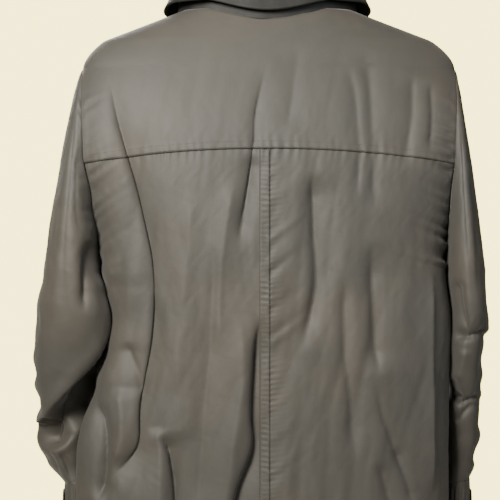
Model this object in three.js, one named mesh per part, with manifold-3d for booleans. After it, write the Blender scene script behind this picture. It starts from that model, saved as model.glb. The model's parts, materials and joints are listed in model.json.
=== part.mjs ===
// A hardshell jacket as it hangs, zipped up. Millimetres, +Z up. The front faces -Y, the back
// faces +Y and the wearer's left is +X. The origin is the middle of the hang loop's gap, level
// with the seam at the back of the neck.
import * as THREE from "three";
import { mergeVertices } from "three/addons/utils/BufferGeometryUtils.js";
import Module from "manifold-3d";

const wasm = await Module();
wasm.setup();

// Cloth, tape and the gap between pieces that touch.
const CLOTH = 1.6; // a panel with its backing
const FACING = 1.2; // a single layer inside the neck, a label or a tab
const GAP = 0.3;

// The body: lengths down from the neck seam, half-widths from the centre line.
const BACK_LENGTH = 760;
const NECK_HALF = 117; // the neck point, where collar meets shoulder
const NECK_RISE = 16; // neck point above the back neck seam
const SHOULDER_HALF = 222; // where the shoulder line ends and the cloth turns down
const SHOULDER_DROP = 43;
const CHEST_HALF = 249;
const TIP_DROP = 43; // height of the turn from shoulder line to side
const ARMPIT_DEPTH = 345;
const ARMPIT_TUCK = 11; // the armpit lies this far inside the chest's widest point
const HEM_HALF = 254;
const BACK_DEPTH = 98; // from the side seams' plane
const FRONT_DEPTH = 92;
const RIDGE_DEPTH = 34; // half the thickness of the shoulder ridge beside the neck
const BACK_FALL = 260; // height over which the back reaches its full depth
const FRONT_FALL = 76;
const HEM_HEIGHT = 25;

// Seams of the body.
const YOKE_SEAM = 181; // back yoke seam below the neck seam, on the centre line
const YOKE_DIP = 18; // how much lower that seam is at the armholes
const FRONT_YOKE_SEAM = 95;
const ZIP_SLOT_HALF = 9; // each front edge stands this far from the centre line

// The sleeves.
const SLEEVE_TOP = 46;
const SLEEVE_TUCK = 10; // the sleeve starts this far inside the shoulder's turn
const SLEEVE_END = 700;
const SLEEVE_CLEAR = 2; // between a hanging sleeve and the side of the body
const SLEEVE_HALF = { left: 32, right: 27 }; // half-width at the armpit
const ELBOW_HALF = { left: 37, right: 28 };
const SLEEVE_DEPTH = 82; // half-depth at the armpit
const CUFF_HALF = 20;
const CUFF_DEPTH = 58;
const CUFF_FORWARD = 60; // a sleeve hangs a little forward of the side seam
const CUFF_INSET = 5;
const CUFF_HEIGHT = 58;
const FOLD_ABOVE = 35; // the band of cloth that bends when a sleeve swings
const FOLD_BELOW = 25;
const TAB_LENGTH = 62;
const TAB_HEIGHT = 26;
const PATCH = 0.8; // hook or loop tape

// The neck.
const STAND_HEIGHT = 60;
const LEAF_TOP_GAP = 2; // top of the leaf below the top of the stand
const LEAF_OPEN = 13; // neck seam left showing under the leaf at the back
const LEAF_FLARE = 9;
const COLLAR_OPEN = 9; // each front edge of the collar stands this far from the centre line
const NECK_COLUMNS = 24;
const FACING_DROP = 18; // the facing reaches this far below the neck seam
const LOOP_GAP = 7;
const LOOP_HALF = 30;
const LOOP_FOOT = 8;
const LOOP_WIDTH = 8;
const LABEL_HALF = 14;
const LABEL_DROP = 6; // below the loop
const LABEL_LENGTH = 38;

// The zips. All of them share one chain and one slider.
const CHAIN_HALF = 3.1;
const CHAIN_THICK = 2.8;
const CHAIN_SPLIT = 0.9; // half the slit that the slider's post runs in
const TAPE_HALF = 15;
const TAPE_THICK = 1;
const SLIDER_HALF = 4.9;
const SLIDER_LENGTH = 13;
const SLIDER_THICK = 7;
const SLIDER_CLEAR = 0.4;
const POST_HALF = 0.45;
const POST_LENGTH = 4;
const BRIDGE_HEIGHT = 3.4;
const BRIDGE_HALF = 1;
const PIN_RADIUS = 0.55;
const PIN_CLEAR = 0.35;
const PULL_HALF = 3;
const PULL_LENGTH = 26;
const PULL_THICK = 1.5;
const ZIP_TOP = 74;
const ZIP_BOX_HEIGHT = 10;
const GUARD_HALF = 24;
const GUARD_BACK = 6; // the wind guard stands this far behind the chain's middle

// The hand pockets.
const POCKET_X = 165;
const POCKET_DEPTH = 560; // middle of the zip below the neck seam
const POCKET_LENGTH = 165;
const POCKET_SLANT = THREE.MathUtils.degToRad(10);
const POCKET_SLOT_HALF = 6.5;
const POCKET_TAPE_HALF = 11;
const POCKET_SINK = CLOTH + 2.5; // middle of the chain below the panel's outer face
const WELT_WIDTH = 12;
const BAG_WIDTH = 134;
const BAG_RISE = 18; // its top edge stands this far above the zip
const BAG_DROP = 30; // the bag reaches this far below the zip
const BAG_THICK = 3;

// The shell is cut a little finer around the shoulders than down the body.
const BODY_SIDES = 32;
const SLEEVE_SIDES = 16;
const FAR = 500; // past the jacket's widest reach
const EYELET_RADIUS = 5;
const EYELET_X = 120;

const ARMPIT_HALF = CHEST_HALF - ARMPIT_TUCK;

const { lerp, clamp, smoothstep } = THREE.MathUtils;

// ---- shapes and solids ----

const shellCloth = material(0x6e6a62, 0.55);
const sleeveCloth = shellCloth;
const collarCloth = material(0x4c4e49, 0.7);
const liningCloth = material(0x3a3a38, 0.8);
const tapeCloth = material(0x34332f, 0.85);
const teethPlastic = material(0x2b2a28, 0.4);
const zipMetal = material(0x77746e, 0.35, 0.9);
const labelCloth = material(0xb8b4a8, 0.8);

function material(color, roughness, metalness = 0) {
  return new THREE.MeshStandardMaterial({ color, roughness, metalness });
}

// A manifold-3d solid from a closed three.js geometry.
function solid(geometry) {
  const bare = geometry.clone();
  bare.deleteAttribute("normal");
  bare.deleteAttribute("uv");
  const merged = mergeVertices(bare, 1e-4);
  return new wasm.Manifold(
    new wasm.Mesh({
      numProp: 3,
      vertProperties: merged.attributes.position.array,
      triVerts: new Uint32Array(merged.index.array),
    }),
  );
}

function geometryOf(body) {
  const mesh = body.getMesh();
  const geometry = new THREE.BufferGeometry();
  geometry.setAttribute("position", new THREE.BufferAttribute(mesh.vertProperties, 3));
  geometry.setIndex(new THREE.BufferAttribute(mesh.triVerts, 1));
  geometry.computeVertexNormals();
  return geometry;
}

function addPiece(name, shape, look, parent = jacket) {
  const geometry = shape.isBufferGeometry ? shape : geometryOf(shape);
  const mesh = new THREE.Mesh(geometry, look);
  mesh.name = name;
  parent.add(mesh);
  return mesh;
}

function block(x0, x1, y0, y1, z0, z1) {
  return new THREE.BoxGeometry(x1 - x0, y1 - y0, z1 - z0).translate(
    (x0 + x1) / 2,
    (y0 + y1) / 2,
    (z0 + z1) / 2,
  );
}

// A closed solid from rings of points, each ring running the same way round, top to bottom.
function loft(rings) {
  const count = rings[0].length;
  const points = rings.flat();
  const faces = [];
  for (let row = 0; row + 1 < rings.length; row++) {
    for (let i = 0; i < count; i++) {
      const next = (i + 1) % count;
      const a = row * count + i;
      const b = row * count + next;
      faces.push(a, a + count, b, b, a + count, b + count);
    }
  }
  for (const [row, turn] of [[0, 1], [rings.length - 1, -1]]) {
    const middle = points.length;
    const centre = new THREE.Vector3();
    rings[row].forEach((point) => centre.add(point));
    points.push(centre.divideScalar(count));
    for (let i = 0; i < count; i++) {
      const a = row * count + i;
      const b = row * count + ((i + 1) % count);
      faces.push(middle, turn > 0 ? a : b, turn > 0 ? b : a);
    }
  }
  const geometry = new THREE.BufferGeometry().setFromPoints(points);
  geometry.setIndex(faces);
  return geometry;
}

// A sheet of one thickness, from point(u, v) on its outer face and the way out of that face.
function sheet(point, outward, thickness, columns, rows) {
  const outer = [];
  const inner = [];
  for (let r = 0; r <= rows; r++) {
    for (let c = 0; c <= columns; c++) {
      const place = point(c / columns, r / rows);
      outer.push(place);
      inner.push(place.clone().addScaledVector(outward(c / columns, r / rows), -thickness));
    }
  }
  const points = [...outer, ...inner];
  const back = outer.length;
  const at = (c, r) => r * (columns + 1) + c;
  const faces = [];
  const quad = (a, b, c, d) => faces.push(a, b, c, a, c, d);
  for (let r = 0; r < rows; r++) {
    for (let c = 0; c < columns; c++) {
      const corners = [at(c, r), at(c + 1, r), at(c + 1, r + 1), at(c, r + 1)];
      quad(...corners);
      quad(...corners.map((i) => i + back).reverse());
    }
  }
  for (let c = 0; c < columns; c++) {
    quad(at(c, 0) + back, at(c + 1, 0) + back, at(c + 1, 0), at(c, 0));
    quad(at(c + 1, rows) + back, at(c, rows) + back, at(c, rows), at(c + 1, rows));
  }
  for (let r = 0; r < rows; r++) {
    quad(at(0, r + 1) + back, at(0, r) + back, at(0, r), at(0, r + 1));
    quad(at(columns, r) + back, at(columns, r + 1) + back, at(columns, r + 1), at(columns, r));
  }
  const geometry = new THREE.BufferGeometry().setFromPoints(points);
  geometry.setIndex(faces);
  return facingOut(geometry);
}

// The same closed geometry with its faces turned outwards.
function facingOut(geometry) {
  const position = geometry.attributes.position;
  const index = geometry.index.array;
  const [a, b, c] = [new THREE.Vector3(), new THREE.Vector3(), new THREE.Vector3()];
  let volume = 0;
  for (let i = 0; i < index.length; i += 3) {
    a.fromBufferAttribute(position, index[i]);
    b.fromBufferAttribute(position, index[i + 1]);
    c.fromBufferAttribute(position, index[i + 2]);
    volume += a.dot(b.cross(c));
  }
  if (volume < 0) {
    for (let i = 0; i < index.length; i += 3) {
      [index[i + 1], index[i + 2]] = [index[i + 2], index[i + 1]];
    }
  }
  return geometry;
}

// A prism that runs right through the jacket along Y, over an outline of [x, z] points.
function prism(outline, y0, y1) {
  const shape = new THREE.Shape(outline.map(([x, z]) => new THREE.Vector2(x, z)));
  const geometry = new THREE.ExtrudeGeometry(shape, { depth: y1 - y0, bevelEnabled: false });
  // Extrusion runs along +Z of the drawing: lay it down so that drawing Y is up.
  geometry.rotateX(Math.PI / 2);
  geometry.translate(0, y1, 0);
  return geometry;
}

// ---- the body's form ----

const neckBack = depthBack(0);
const neckFront = FRONT_DEPTH - 4;
const neckMiddle = (neckBack - neckFront) / 2;
const neckHalfDepth = (neckBack + neckFront) / 2;
const neckHalfWidth = NECK_HALF / Math.sqrt(1 - (neckMiddle / neckHalfDepth) ** 2);
const standInset = GAP; // the stand's outer face inside the neck edge
const facingInset = standInset + CLOTH + GAP;
const bodyY = LOOP_GAP / 2 - (neckBack - facingInset - FACING);

const tipTop = NECK_RISE - SHOULDER_DROP;
const tipEnd = tipTop - TIP_DROP;

function halfWidth(z) {
  if (z > tipTop) {
    const along = (NECK_RISE - z) / SHOULDER_DROP;
    return lerp(NECK_HALF, SHOULDER_HALF, along);
  }
  if (z > tipEnd) {
    const along = (tipTop - z) / TIP_DROP;
    return lerp(SHOULDER_HALF, CHEST_HALF, 1 - (1 - along) ** 2.5);
  }
  if (z > -ARMPIT_DEPTH) {
    return lerp(ARMPIT_HALF, CHEST_HALF, smoothstep(z, -ARMPIT_DEPTH, tipEnd));
  }
  return lerp(ARMPIT_HALF, HEM_HALF, (-ARMPIT_DEPTH - z) / (BACK_LENGTH - ARMPIT_DEPTH));
}

function fall(z, height) {
  const along = clamp((NECK_RISE - z) / height, 0, 1);
  return 1 - (1 - along) ** 2;
}

function depthBack(z) {
  return lerp(RIDGE_DEPTH, BACK_DEPTH, fall(z, BACK_FALL));
}

function depthFront(z) {
  return lerp(RIDGE_DEPTH, FRONT_DEPTH, fall(z, FRONT_FALL));
}

// The section is rounder at the shoulder and squarer at the chest.
function squareness(z) {
  return lerp(2.3, 3, smoothstep(-z, 0, 120));
}

function bodyRing(z, inset, sides = BODY_SIDES) {
  const power = 2 / squareness(z);
  const ring = [];
  for (let i = 0; i < sides; i++) {
    const angle = (2 * Math.PI * i) / sides;
    const cos = Math.cos(angle);
    const sin = Math.sin(angle);
    const depth = sin > 0 ? depthBack(z) : depthFront(z);
    const x = (halfWidth(z) - inset) * Math.sign(cos) * Math.abs(cos) ** power;
    const y = (depth - inset) * Math.sign(sin) * Math.abs(sin) ** power;
    ring.push(new THREE.Vector3(x, bodyY + y, z - inset));
  }
  return ring;
}

// The body's outer face: how far in front of or behind the side seams it is at (x, z).
function bodyDepth(x, z, depth) {
  const power = squareness(z);
  const share = Math.min(Math.abs(x) / halfWidth(z), 1);
  return depth * (1 - share ** power) ** (1 / power);
}

// The height at which the body's outer face passes over the point (x, y).
function bodyHeight(x, y) {
  let low = -FRONT_YOKE_SEAM;
  let high = NECK_RISE;
  for (let i = 0; i < 40; i++) {
    const z = (low + high) / 2;
    const depth = y > bodyY ? depthBack(z) : depthFront(z);
    const power = squareness(z);
    const size = (Math.abs(x) / halfWidth(z)) ** power + (Math.abs(y - bodyY) / depth) ** power;
    if (size < 1) low = z;
    else high = z;
  }
  return low;
}

const bodyLevels = [
  ...steps(NECK_RISE, tipTop, 4),
  ...steps(tipTop, tipEnd, 4),
  ...steps(tipEnd, -ARMPIT_DEPTH, 5),
  ...steps(-ARMPIT_DEPTH, -BACK_LENGTH, 4),
  -BACK_LENGTH,
];

function steps(from, to, count) {
  return Array.from({ length: count }, (_, i) => lerp(from, to, i / count));
}

function bodyLoft(inset, reach) {
  const rings = bodyLevels.map((z) => bodyRing(z, inset));
  if (reach) {
    rings.unshift(lifted(rings[0], reach));
    rings.push(lifted(rings.at(-1), -reach));
  }
  return solid(loft(rings));
}

function lifted(ring, height) {
  return ring.map((point) => point.clone().setZ(point.z + height));
}

// ---- the sleeves' form ----

function sleeveSection(side, z) {
  const armpit = -ARMPIT_DEPTH;
  const inner = ARMPIT_HALF + SLEEVE_CLEAR;
  if (z >= armpit) {
    const down = clamp((-SLEEVE_TOP - z) / (ARMPIT_DEPTH - SLEEVE_TOP), 0, 1);
    const tip = halfWidth(-SLEEVE_TOP) - SLEEVE_TUCK;
    const near = inner - 50 * (1 - down);
    const far = lerp(tip, inner + 2 * SLEEVE_HALF[side], down ** 0.45);
    const depth = lerp(12, SLEEVE_DEPTH, 1 - (1 - down) ** 3);
    return { x: (near + far) / 2, y: 0, half: (far - near) / 2, depth };
  }
  // The cuff is straight, so the taper ends at its top.
  const along = Math.min((armpit - z) / (SLEEVE_END - CUFF_HEIGHT - ARMPIT_DEPTH), 1);
  const elbow = smoothstep(along, 0, 0.35);
  const taper = smoothstep(along, 0.4, 0.95);
  const half = lerp(lerp(SLEEVE_HALF[side], ELBOW_HALF[side], elbow), CUFF_HALF, taper);
  const near = halfWidth(z) + SLEEVE_CLEAR - CUFF_INSET * smoothstep(along, 0.6, 1);
  return {
    x: near + half,
    y: -CUFF_FORWARD * smoothstep(along, 0.1, 1),
    half,
    depth: lerp(SLEEVE_DEPTH, CUFF_DEPTH, along),
  };
}

function sleevePoint(side, z, angle, inset) {
  const section = sleeveSection(side, z);
  const out = side === "left" ? 1 : -1;
  return new THREE.Vector3(
    out * (section.x + (section.half - inset) * Math.cos(angle)),
    bodyY + section.y + out * (section.depth - inset) * Math.sin(angle),
    z,
  );
}

const sleeveLevels = [
  ...steps(-SLEEVE_TOP, -130, 4),
  ...steps(-130, -ARMPIT_DEPTH + FOLD_ABOVE, 3),
  -ARMPIT_DEPTH + FOLD_ABOVE,
  ...steps(-ARMPIT_DEPTH, -SLEEVE_END + CUFF_HEIGHT, 6),
  -SLEEVE_END + CUFF_HEIGHT,
  -SLEEVE_END,
];

function sleeveLoft(side, inset, reach, levels = sleeveLevels) {
  const rings = levels.map((z, i) => {
    const ring = [];
    for (let s = 0; s < SLEEVE_SIDES; s++) {
      const point = sleevePoint(side, z, (2 * Math.PI * s) / SLEEVE_SIDES, inset);
      if (i === 0) point.z -= inset;
      ring.push(point);
    }
    return ring;
  });
  if (reach) rings.push(lifted(rings.at(-1), -reach));
  return solid(facingOut(loft(rings)));
}

// ---- the shell and its seams ----

// The armhole seam from the shoulder to the armpit, as [x, z] points.
const armhole = new THREE.SplineCurve([
  new THREE.Vector2(CHEST_HALF - 5, FAR),
  new THREE.Vector2(CHEST_HALF - 5, 0),
  new THREE.Vector2(CHEST_HALF - 4, -100),
  new THREE.Vector2(CHEST_HALF - 3, -YOKE_SEAM),
  new THREE.Vector2(ARMPIT_HALF + 2, -ARMPIT_DEPTH + 95),
  new THREE.Vector2(ARMPIT_HALF - 2, -ARMPIT_DEPTH + 45),
  new THREE.Vector2(ARMPIT_HALF + SLEEVE_CLEAR / 2, -ARMPIT_DEPTH),
])
  .getPoints(12)
  .map((point) => [point.x, point.y]);

function yokeSeam(x) {
  return -YOKE_SEAM - YOKE_DIP * (Math.abs(x) / CHEST_HALF) ** 2;
}

const below = [FAR, -2 * FAR];

// Everything inside the armholes, and the body alone below them.
function bodyRegion() {
  const edge = armhole.map(([x, z]) => [x - GAP / 2, z]);
  const mirrored = edge.map(([x, z]) => [-x, z]).reverse();
  const middle = solid(prism([...edge, ...mirrored], -FAR, FAR));
  const skirt = solid(
    loft(
      [-ARMPIT_DEPTH + 4, ...bodyLevels.filter((z) => z < -ARMPIT_DEPTH), -BACK_LENGTH - 20].map(
        (z) => bodyRing(Math.max(z, -BACK_LENGTH), -0.9).map((p) => p.setZ(z)),
      ),
    ),
  );
  return middle.add(skirt);
}

// Everything outside an armhole, and the sleeve alone below it.
function sleeveRegion(side) {
  const out = side === "left" ? 1 : -1;
  const edge = armhole.map(([x, z]) => [out * (x + GAP / 2), z]);
  const armpitX = edge.at(-1)[0];
  const outline = [...edge, [armpitX, -ARMPIT_DEPTH - 1], [out * FAR, -ARMPIT_DEPTH - 1]];
  outline.push([out * FAR, FAR]);
  const levels = [-ARMPIT_DEPTH + 4, ...sleeveLevels.filter((z) => z <= -ARMPIT_DEPTH)];
  const tube = sleeveLoft(side, -0.9, 20, levels);
  return solid(prism(outline, -FAR, FAR)).add(tube);
}

const bodyShell = bodyLoft(0)
  .add(sleeveLoft("left", 0))
  .add(sleeveLoft("right", 0))
  .subtract(bodyLoft(CLOTH, 40))
  .subtract(sleeveLoft("left", CLOTH, 40))
  .subtract(sleeveLoft("right", CLOTH, 40));

const neckCut = solid(
  new THREE.CylinderGeometry(1, 1, 200, 48)
    .rotateX(Math.PI / 2)
    .scale(neckHalfWidth, neckHalfDepth, 1)
    .translate(0, bodyY + neckMiddle, 40),
);
const body = bodyShell.intersect(bodyRegion()).subtract(neckCut);

// A slice of a solid between two heights.
function between(shape, high, low) {
  return shape.intersect(solid(block(-FAR, FAR, -FAR, FAR, low, high)));
}

const seamSteps = [-FAR, ...steps(-CHEST_HALF, CHEST_HALF, 10), CHEST_HALF, FAR];
const yokeLine = seamSteps.map((x) => [x, yokeSeam(x)]);
const hemTop = -BACK_LENGTH + HEM_HEIGHT;

const jacket = new THREE.Group();

function addBodyPanels() {
  const backYoke = prism([...yokeLine, [FAR, FAR], [-FAR, FAR]], bodyY, FAR);
  const frontYoke = block(-FAR, FAR, -FAR, bodyY + GAP, -FRONT_YOKE_SEAM, FAR);
  const slit = solid(block(-ZIP_SLOT_HALF, ZIP_SLOT_HALF, -FAR, bodyY, -2 * FAR, 0));
  const yoke = solid(backYoke).add(solid(frontYoke)).subtract(slit);
  addPiece("back_yoke", body.intersect(yoke), shellCloth);

  const underYoke = yokeLine.map(([x, z]) => [x, z - GAP]);
  for (const [side, out] of [["left", 1], ["right", -1]]) {
    const line = underYoke.filter(([x]) => x * out > 0);
    const edge = [[(out * GAP) / 2, yokeSeam(0) - GAP], [(out * GAP) / 2, hemTop + GAP]];
    const rim = [[out * FAR, hemTop + GAP]];
    const ordered = out > 0 ? line.reverse() : line;
    const back = prism([...edge, ...rim, ...ordered], bodyY + GAP / 2, FAR);
    addPiece("back_panel_" + side, body.intersect(solid(back)), shellCloth);

    const near = out * ZIP_SLOT_HALF;
    const far = out * FAR;
    const [x0, x1] = [Math.min(near, far), Math.max(near, far)];
    const front = block(x0, x1, -FAR, bodyY - GAP / 2, hemTop + GAP, -FRONT_YOKE_SEAM - GAP);
    const slot = block(
      -POCKET_SLOT_HALF,
      POCKET_SLOT_HALF,
      -20,
      20,
      -POCKET_LENGTH / 2,
      POCKET_LENGTH / 2,
    ).applyMatrix4(pocketFrame(out));
    const panel = body.intersect(solid(front)).subtract(solid(slot));
    addPiece("front_panel_" + side, panel, shellCloth);
  }

  let hem = between(body, hemTop, -BACK_LENGTH - 1).subtract(slit);
  for (const out of [1, -1]) {
    const hole = new THREE.CylinderGeometry(EYELET_RADIUS, EYELET_RADIUS, 60, 14);
    const place = eyeletPlace(out);
    hem = hem.subtract(solid(hole.translate(place.x, place.y, place.z)));
  }
  addPiece("hem_band", hem, shellCloth);
}

function eyeletPlace(out) {
  const z = hemTop - HEM_HEIGHT / 2;
  const y = bodyY - bodyDepth(EYELET_X, z, depthFront(z));
  return new THREE.Vector3(out * EYELET_X, y, z);
}

function addEyelets() {
  const z = hemTop - HEM_HEIGHT / 2;
  const turn = faceTurn(EYELET_X, z);
  for (const [side, out] of [["left", 1], ["right", -1]]) {
    const radius = EYELET_RADIUS - GAP;
    const profile = [
      [2.4, -CLOTH - 0.6],
      [radius, -CLOTH - 0.6],
      [radius, 0.5],
      [radius + 2.2, 0.5],
      [radius + 1.6, 1.1],
      [3, 1.3],
      [2.4, 0.9],
      [2.4, -CLOTH - 0.6],
    ].map(([r, y]) => new THREE.Vector2(r, y));
    const ring = new THREE.LatheGeometry(profile, 14);
    const mesh = addPiece("hem_eyelet_" + side, facingOut(closed(ring)), zipMetal);
    mesh.position.copy(eyeletPlace(out));
    // The lathe's axis is its own Y: turn its head to face out of the hem.
    mesh.rotation.set(Math.PI, 0, -out * turn);
  }
}

// A lathe or extrusion with its seam vertices shared.
function closed(geometry) {
  geometry.deleteAttribute("normal");
  geometry.deleteAttribute("uv");
  return mergeVertices(geometry, 1e-4);
}

function addSleeves() {
  for (const side of ["left", "right"]) {
    const sleeve = bodyShell.intersect(sleeveRegion(side));
    const cuffTop = -SLEEVE_END + CUFF_HEIGHT;
    const foldTop = -ARMPIT_DEPTH + FOLD_ABOVE;
    const foldEnd = -ARMPIT_DEPTH - FOLD_BELOW;
    addPiece("sleeve_head_" + side, between(sleeve, FAR, foldTop), sleeveCloth);
    addPiece("sleeve_fold_" + side, between(sleeve, foldTop - GAP, foldEnd), sleeveCloth);
    addPiece("sleeve_" + side, between(sleeve, foldEnd - GAP, cuffTop), sleeveCloth);
    addPiece("cuff_" + side, between(sleeve, cuffTop - GAP, -SLEEVE_END - 1), sleeveCloth);
    addTab(side);
  }
}

// The tab that draws in a cuff, with its hook pad, over the loop patch sewn to the cuff.
function addTab(side) {
  const middle = -SLEEVE_END + CUFF_HEIGHT / 2;
  const section = sleeveSection(side, middle);
  const out = side === "left" ? 1 : -1;
  const reach = TAB_LENGTH / 2 / section.depth;
  const layer = (name, offset, thickness, length, height, look) => {
    const angle = (u) => reach * (length / TAB_LENGTH) * (2 * u - 1);
    const point = (u, v) => {
      const z = middle + height * (v - 0.5);
      return sleevePoint(side, z, angle(u), -offset - thickness);
    };
    const outward = (u) => {
      const x = Math.cos(angle(u)) * section.depth;
      const y = Math.sin(angle(u)) * section.half;
      return new THREE.Vector3(out * x, out * y, 0).normalize();
    };
    addPiece(name + side, sheet(point, outward, thickness, 8, 1), look);
  };
  const hookAt = 2 * GAP + PATCH;
  layer("cuff_loop_", GAP + 0.2, PATCH, TAB_LENGTH - 8, TAB_HEIGHT - 2, tapeCloth);
  layer("cuff_hook_", hookAt + 0.2, PATCH, TAB_LENGTH - 22, TAB_HEIGHT - 6, tapeCloth);
  layer("cuff_tab_", hookAt + PATCH + GAP + 0.2, FACING, TAB_LENGTH, TAB_HEIGHT, sleeveCloth);
}

// ---- the neck ----

// A point on the neck's oval, angle 90 degrees at the back.
function neckPoint(angle, inset, z) {
  return new THREE.Vector3(
    (neckHalfWidth - inset) * Math.cos(angle),
    bodyY + neckMiddle + (neckHalfDepth - inset) * Math.sin(angle),
    z,
  );
}

function neckOutward(angle) {
  const x = Math.cos(angle) * neckHalfDepth;
  const y = Math.sin(angle) * neckHalfWidth;
  return new THREE.Vector3(x, y, 0).normalize();
}

function neckSeam(angle) {
  const place = neckPoint(angle, 0, 0);
  return bodyHeight(place.x, place.y);
}

// A sheet from the right front edge round the back to the left front edge. All of them share
// their columns, so that they nest; a sheet may leave out some columns at each front edge.
function neckAngle(column) {
  const open = Math.asin(COLLAR_OPEN / neckHalfWidth);
  const along = column / NECK_COLUMNS;
  return lerp(-Math.PI / 2 - open, -Math.PI / 2 + open - 2 * Math.PI, along);
}

function neckSheet(skip, inset, thickness, bottom, top, rows = 1) {
  const angleAt = (u) => neckAngle(lerp(skip, NECK_COLUMNS - skip, u));
  const point = (u, v) => {
    const angle = angleAt(u);
    return neckPoint(angle, inset(v), lerp(bottom(angle), top(angle), v));
  };
  const outward = (u) => neckOutward(angleAt(u));
  return sheet(point, outward, thickness, NECK_COLUMNS - 2 * skip, rows);
}

function addCollar() {
  const top = (angle) => neckSeam(angle) + STAND_HEIGHT;
  const stand = neckSheet(0, () => standInset, CLOTH, (a) => neckSeam(a) - 2, top, 2);
  addPiece("collar_stand", stand, collarCloth);

  const facing = neckSheet(
    0,
    () => facingInset,
    FACING,
    (a) => neckSeam(a) - FACING_DROP,
    (a) => top(a) - 4,
    2,
  );
  addPiece("neck_facing", facing, liningCloth);

  // The leaf turns down outside the stand, clear of the shoulders.
  const leafInset = (v) => standInset - CLOTH - GAP - LEAF_FLARE * (1 - v) ** 1.3;
  const leafBottom = (angle) => neckSeam(angle) + LEAF_OPEN;
  const leafTop = (angle) => top(angle) - LEAF_TOP_GAP;
  const leaf = neckSheet(1, leafInset, CLOTH, leafBottom, leafTop, 4);
  addPiece("collar_leaf", leaf, collarCloth);
}

// Where the flats of the facing's inner face are at the back, at x from the centre line.
function facingY(x) {
  const corner = (column) => neckPoint(neckAngle(column), facingInset + FACING, 0);
  let column = NECK_COLUMNS / 2;
  while (Math.abs(corner(column + 1).x) < x) column++;
  const [near, far] = [corner(column), corner(column + 1)];
  return lerp(near.y, far.y, (x - Math.abs(near.x)) / (Math.abs(far.x) - Math.abs(near.x)));
}

function addHangLoop() {
  const backY = facingY(LOOP_HALF) - GAP;
  const front = -LOOP_GAP / 2;
  const foot = LOOP_HALF - LOOP_FOOT;
  const inside = [
    [-LOOP_HALF, backY],
    [-foot, backY],
    [-foot + 6, front],
    [foot - 6, front],
    [foot, backY],
    [LOOP_HALF, backY],
  ];
  const outside = [
    [LOOP_HALF, backY - FACING],
    [foot - 1, backY - FACING],
    [foot - 7, front - FACING],
    [-foot + 7, front - FACING],
    [-foot + 1, backY - FACING],
    [-LOOP_HALF, backY - FACING],
  ];
  const shape = new THREE.Shape([...inside, ...outside].map(([x, y]) => new THREE.Vector2(x, y)));
  const strip = new THREE.ExtrudeGeometry(shape, { depth: LOOP_WIDTH, bevelEnabled: false });
  addPiece("hang_loop", closed(strip.translate(0, 0, -LOOP_WIDTH / 2)), tapeCloth);

  const labelTop = neckSeam(Math.PI / 2) - LOOP_WIDTH / 2 - LABEL_DROP;
  const label = sheet(
    (u, v) => {
      const angle = Math.PI / 2 + (LABEL_HALF / neckHalfWidth) * (1 - 2 * u);
      return neckPoint(angle, facingInset + FACING + 2 * GAP, labelTop - LABEL_LENGTH * (1 - v));
    },
    () => new THREE.Vector3(0, 1, 0),
    0.6,
    4,
    1,
  );
  addPiece("size_label", label, labelCloth);
}

// The lining under the yoke, seen through the neck.
function addYokeLining() {
  const inset = CLOTH + 2 * GAP;
  const cloth = bodyLoft(inset).subtract(bodyLoft(inset + 1, 40)).subtract(neckCut);
  const reach = CHEST_HALF - 40;
  const low = -YOKE_SEAM + 25;
  const outline = [[-reach, low], [reach, low], [reach, FAR], [-reach, FAR]];
  const part = cloth.intersect(solid(prism(outline, bodyY + 12, FAR)));
  addPiece("yoke_lining", part, liningCloth);
}

// ---- zips, in a frame with X across, Y out of the cloth and Z up along the zip ----

function chainHalf(out, low, high, tapeHalf) {
  const teeth = [out * CHAIN_SPLIT, out * CHAIN_HALF].sort((a, b) => a - b);
  const tape = [out * (CHAIN_HALF + GAP), out * tapeHalf].sort((a, b) => a - b);
  return {
    teeth: block(...teeth, -CHAIN_THICK / 2, CHAIN_THICK / 2, low, high),
    tape: block(...tape, -TAPE_THICK / 2, TAPE_THICK / 2, low, high),
  };
}

// The slider wraps both rows of teeth. Its post runs in the slit between them.
function sliderBody() {
  const half = SLIDER_THICK / 2;
  const low = -SLIDER_LENGTH / 2;
  const high = SLIDER_LENGTH / 2;
  const outline = new THREE.Shape();
  outline.moveTo(-SLIDER_HALF + 1.2, low);
  outline.lineTo(SLIDER_HALF - 1.2, low);
  outline.quadraticCurveTo(SLIDER_HALF - 0.4, 0, SLIDER_HALF, high - 3);
  outline.quadraticCurveTo(SLIDER_HALF - 0.4, high, 0, high);
  outline.quadraticCurveTo(-SLIDER_HALF + 0.4, high, -SLIDER_HALF, high - 3);
  outline.quadraticCurveTo(-SLIDER_HALF + 0.4, 0, -SLIDER_HALF + 1.2, low);
  const plate = new THREE.ExtrudeGeometry(outline, {
    depth: SLIDER_THICK - 0.8,
    bevelThickness: 0.4,
    bevelSize: 0.4,
    bevelOffset: -0.4,
    bevelSegments: 1,
    curveSegments: 4,
  });
  plate.translate(0, 0, -half + 0.4).rotateX(Math.PI / 2);
  const channel = CHAIN_HALF + SLIDER_CLEAR;
  const room = CHAIN_THICK / 2 + SLIDER_CLEAR;
  const slot = TAPE_THICK / 2 + SLIDER_CLEAR;
  const wide = SLIDER_HALF + 2;
  const long = SLIDER_LENGTH;
  const post = block(-POST_HALF, POST_HALF, -half + 0.5, half - 0.5, high - POST_LENGTH, high - 0.6);
  return solid(plate)
    .subtract(solid(block(-channel, channel, -room, room, -long, long)))
    .subtract(solid(block(-wide, wide, -slot, slot, -long, long)))
    .add(solid(post))
    .add(sliderBridge(half));
}

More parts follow.
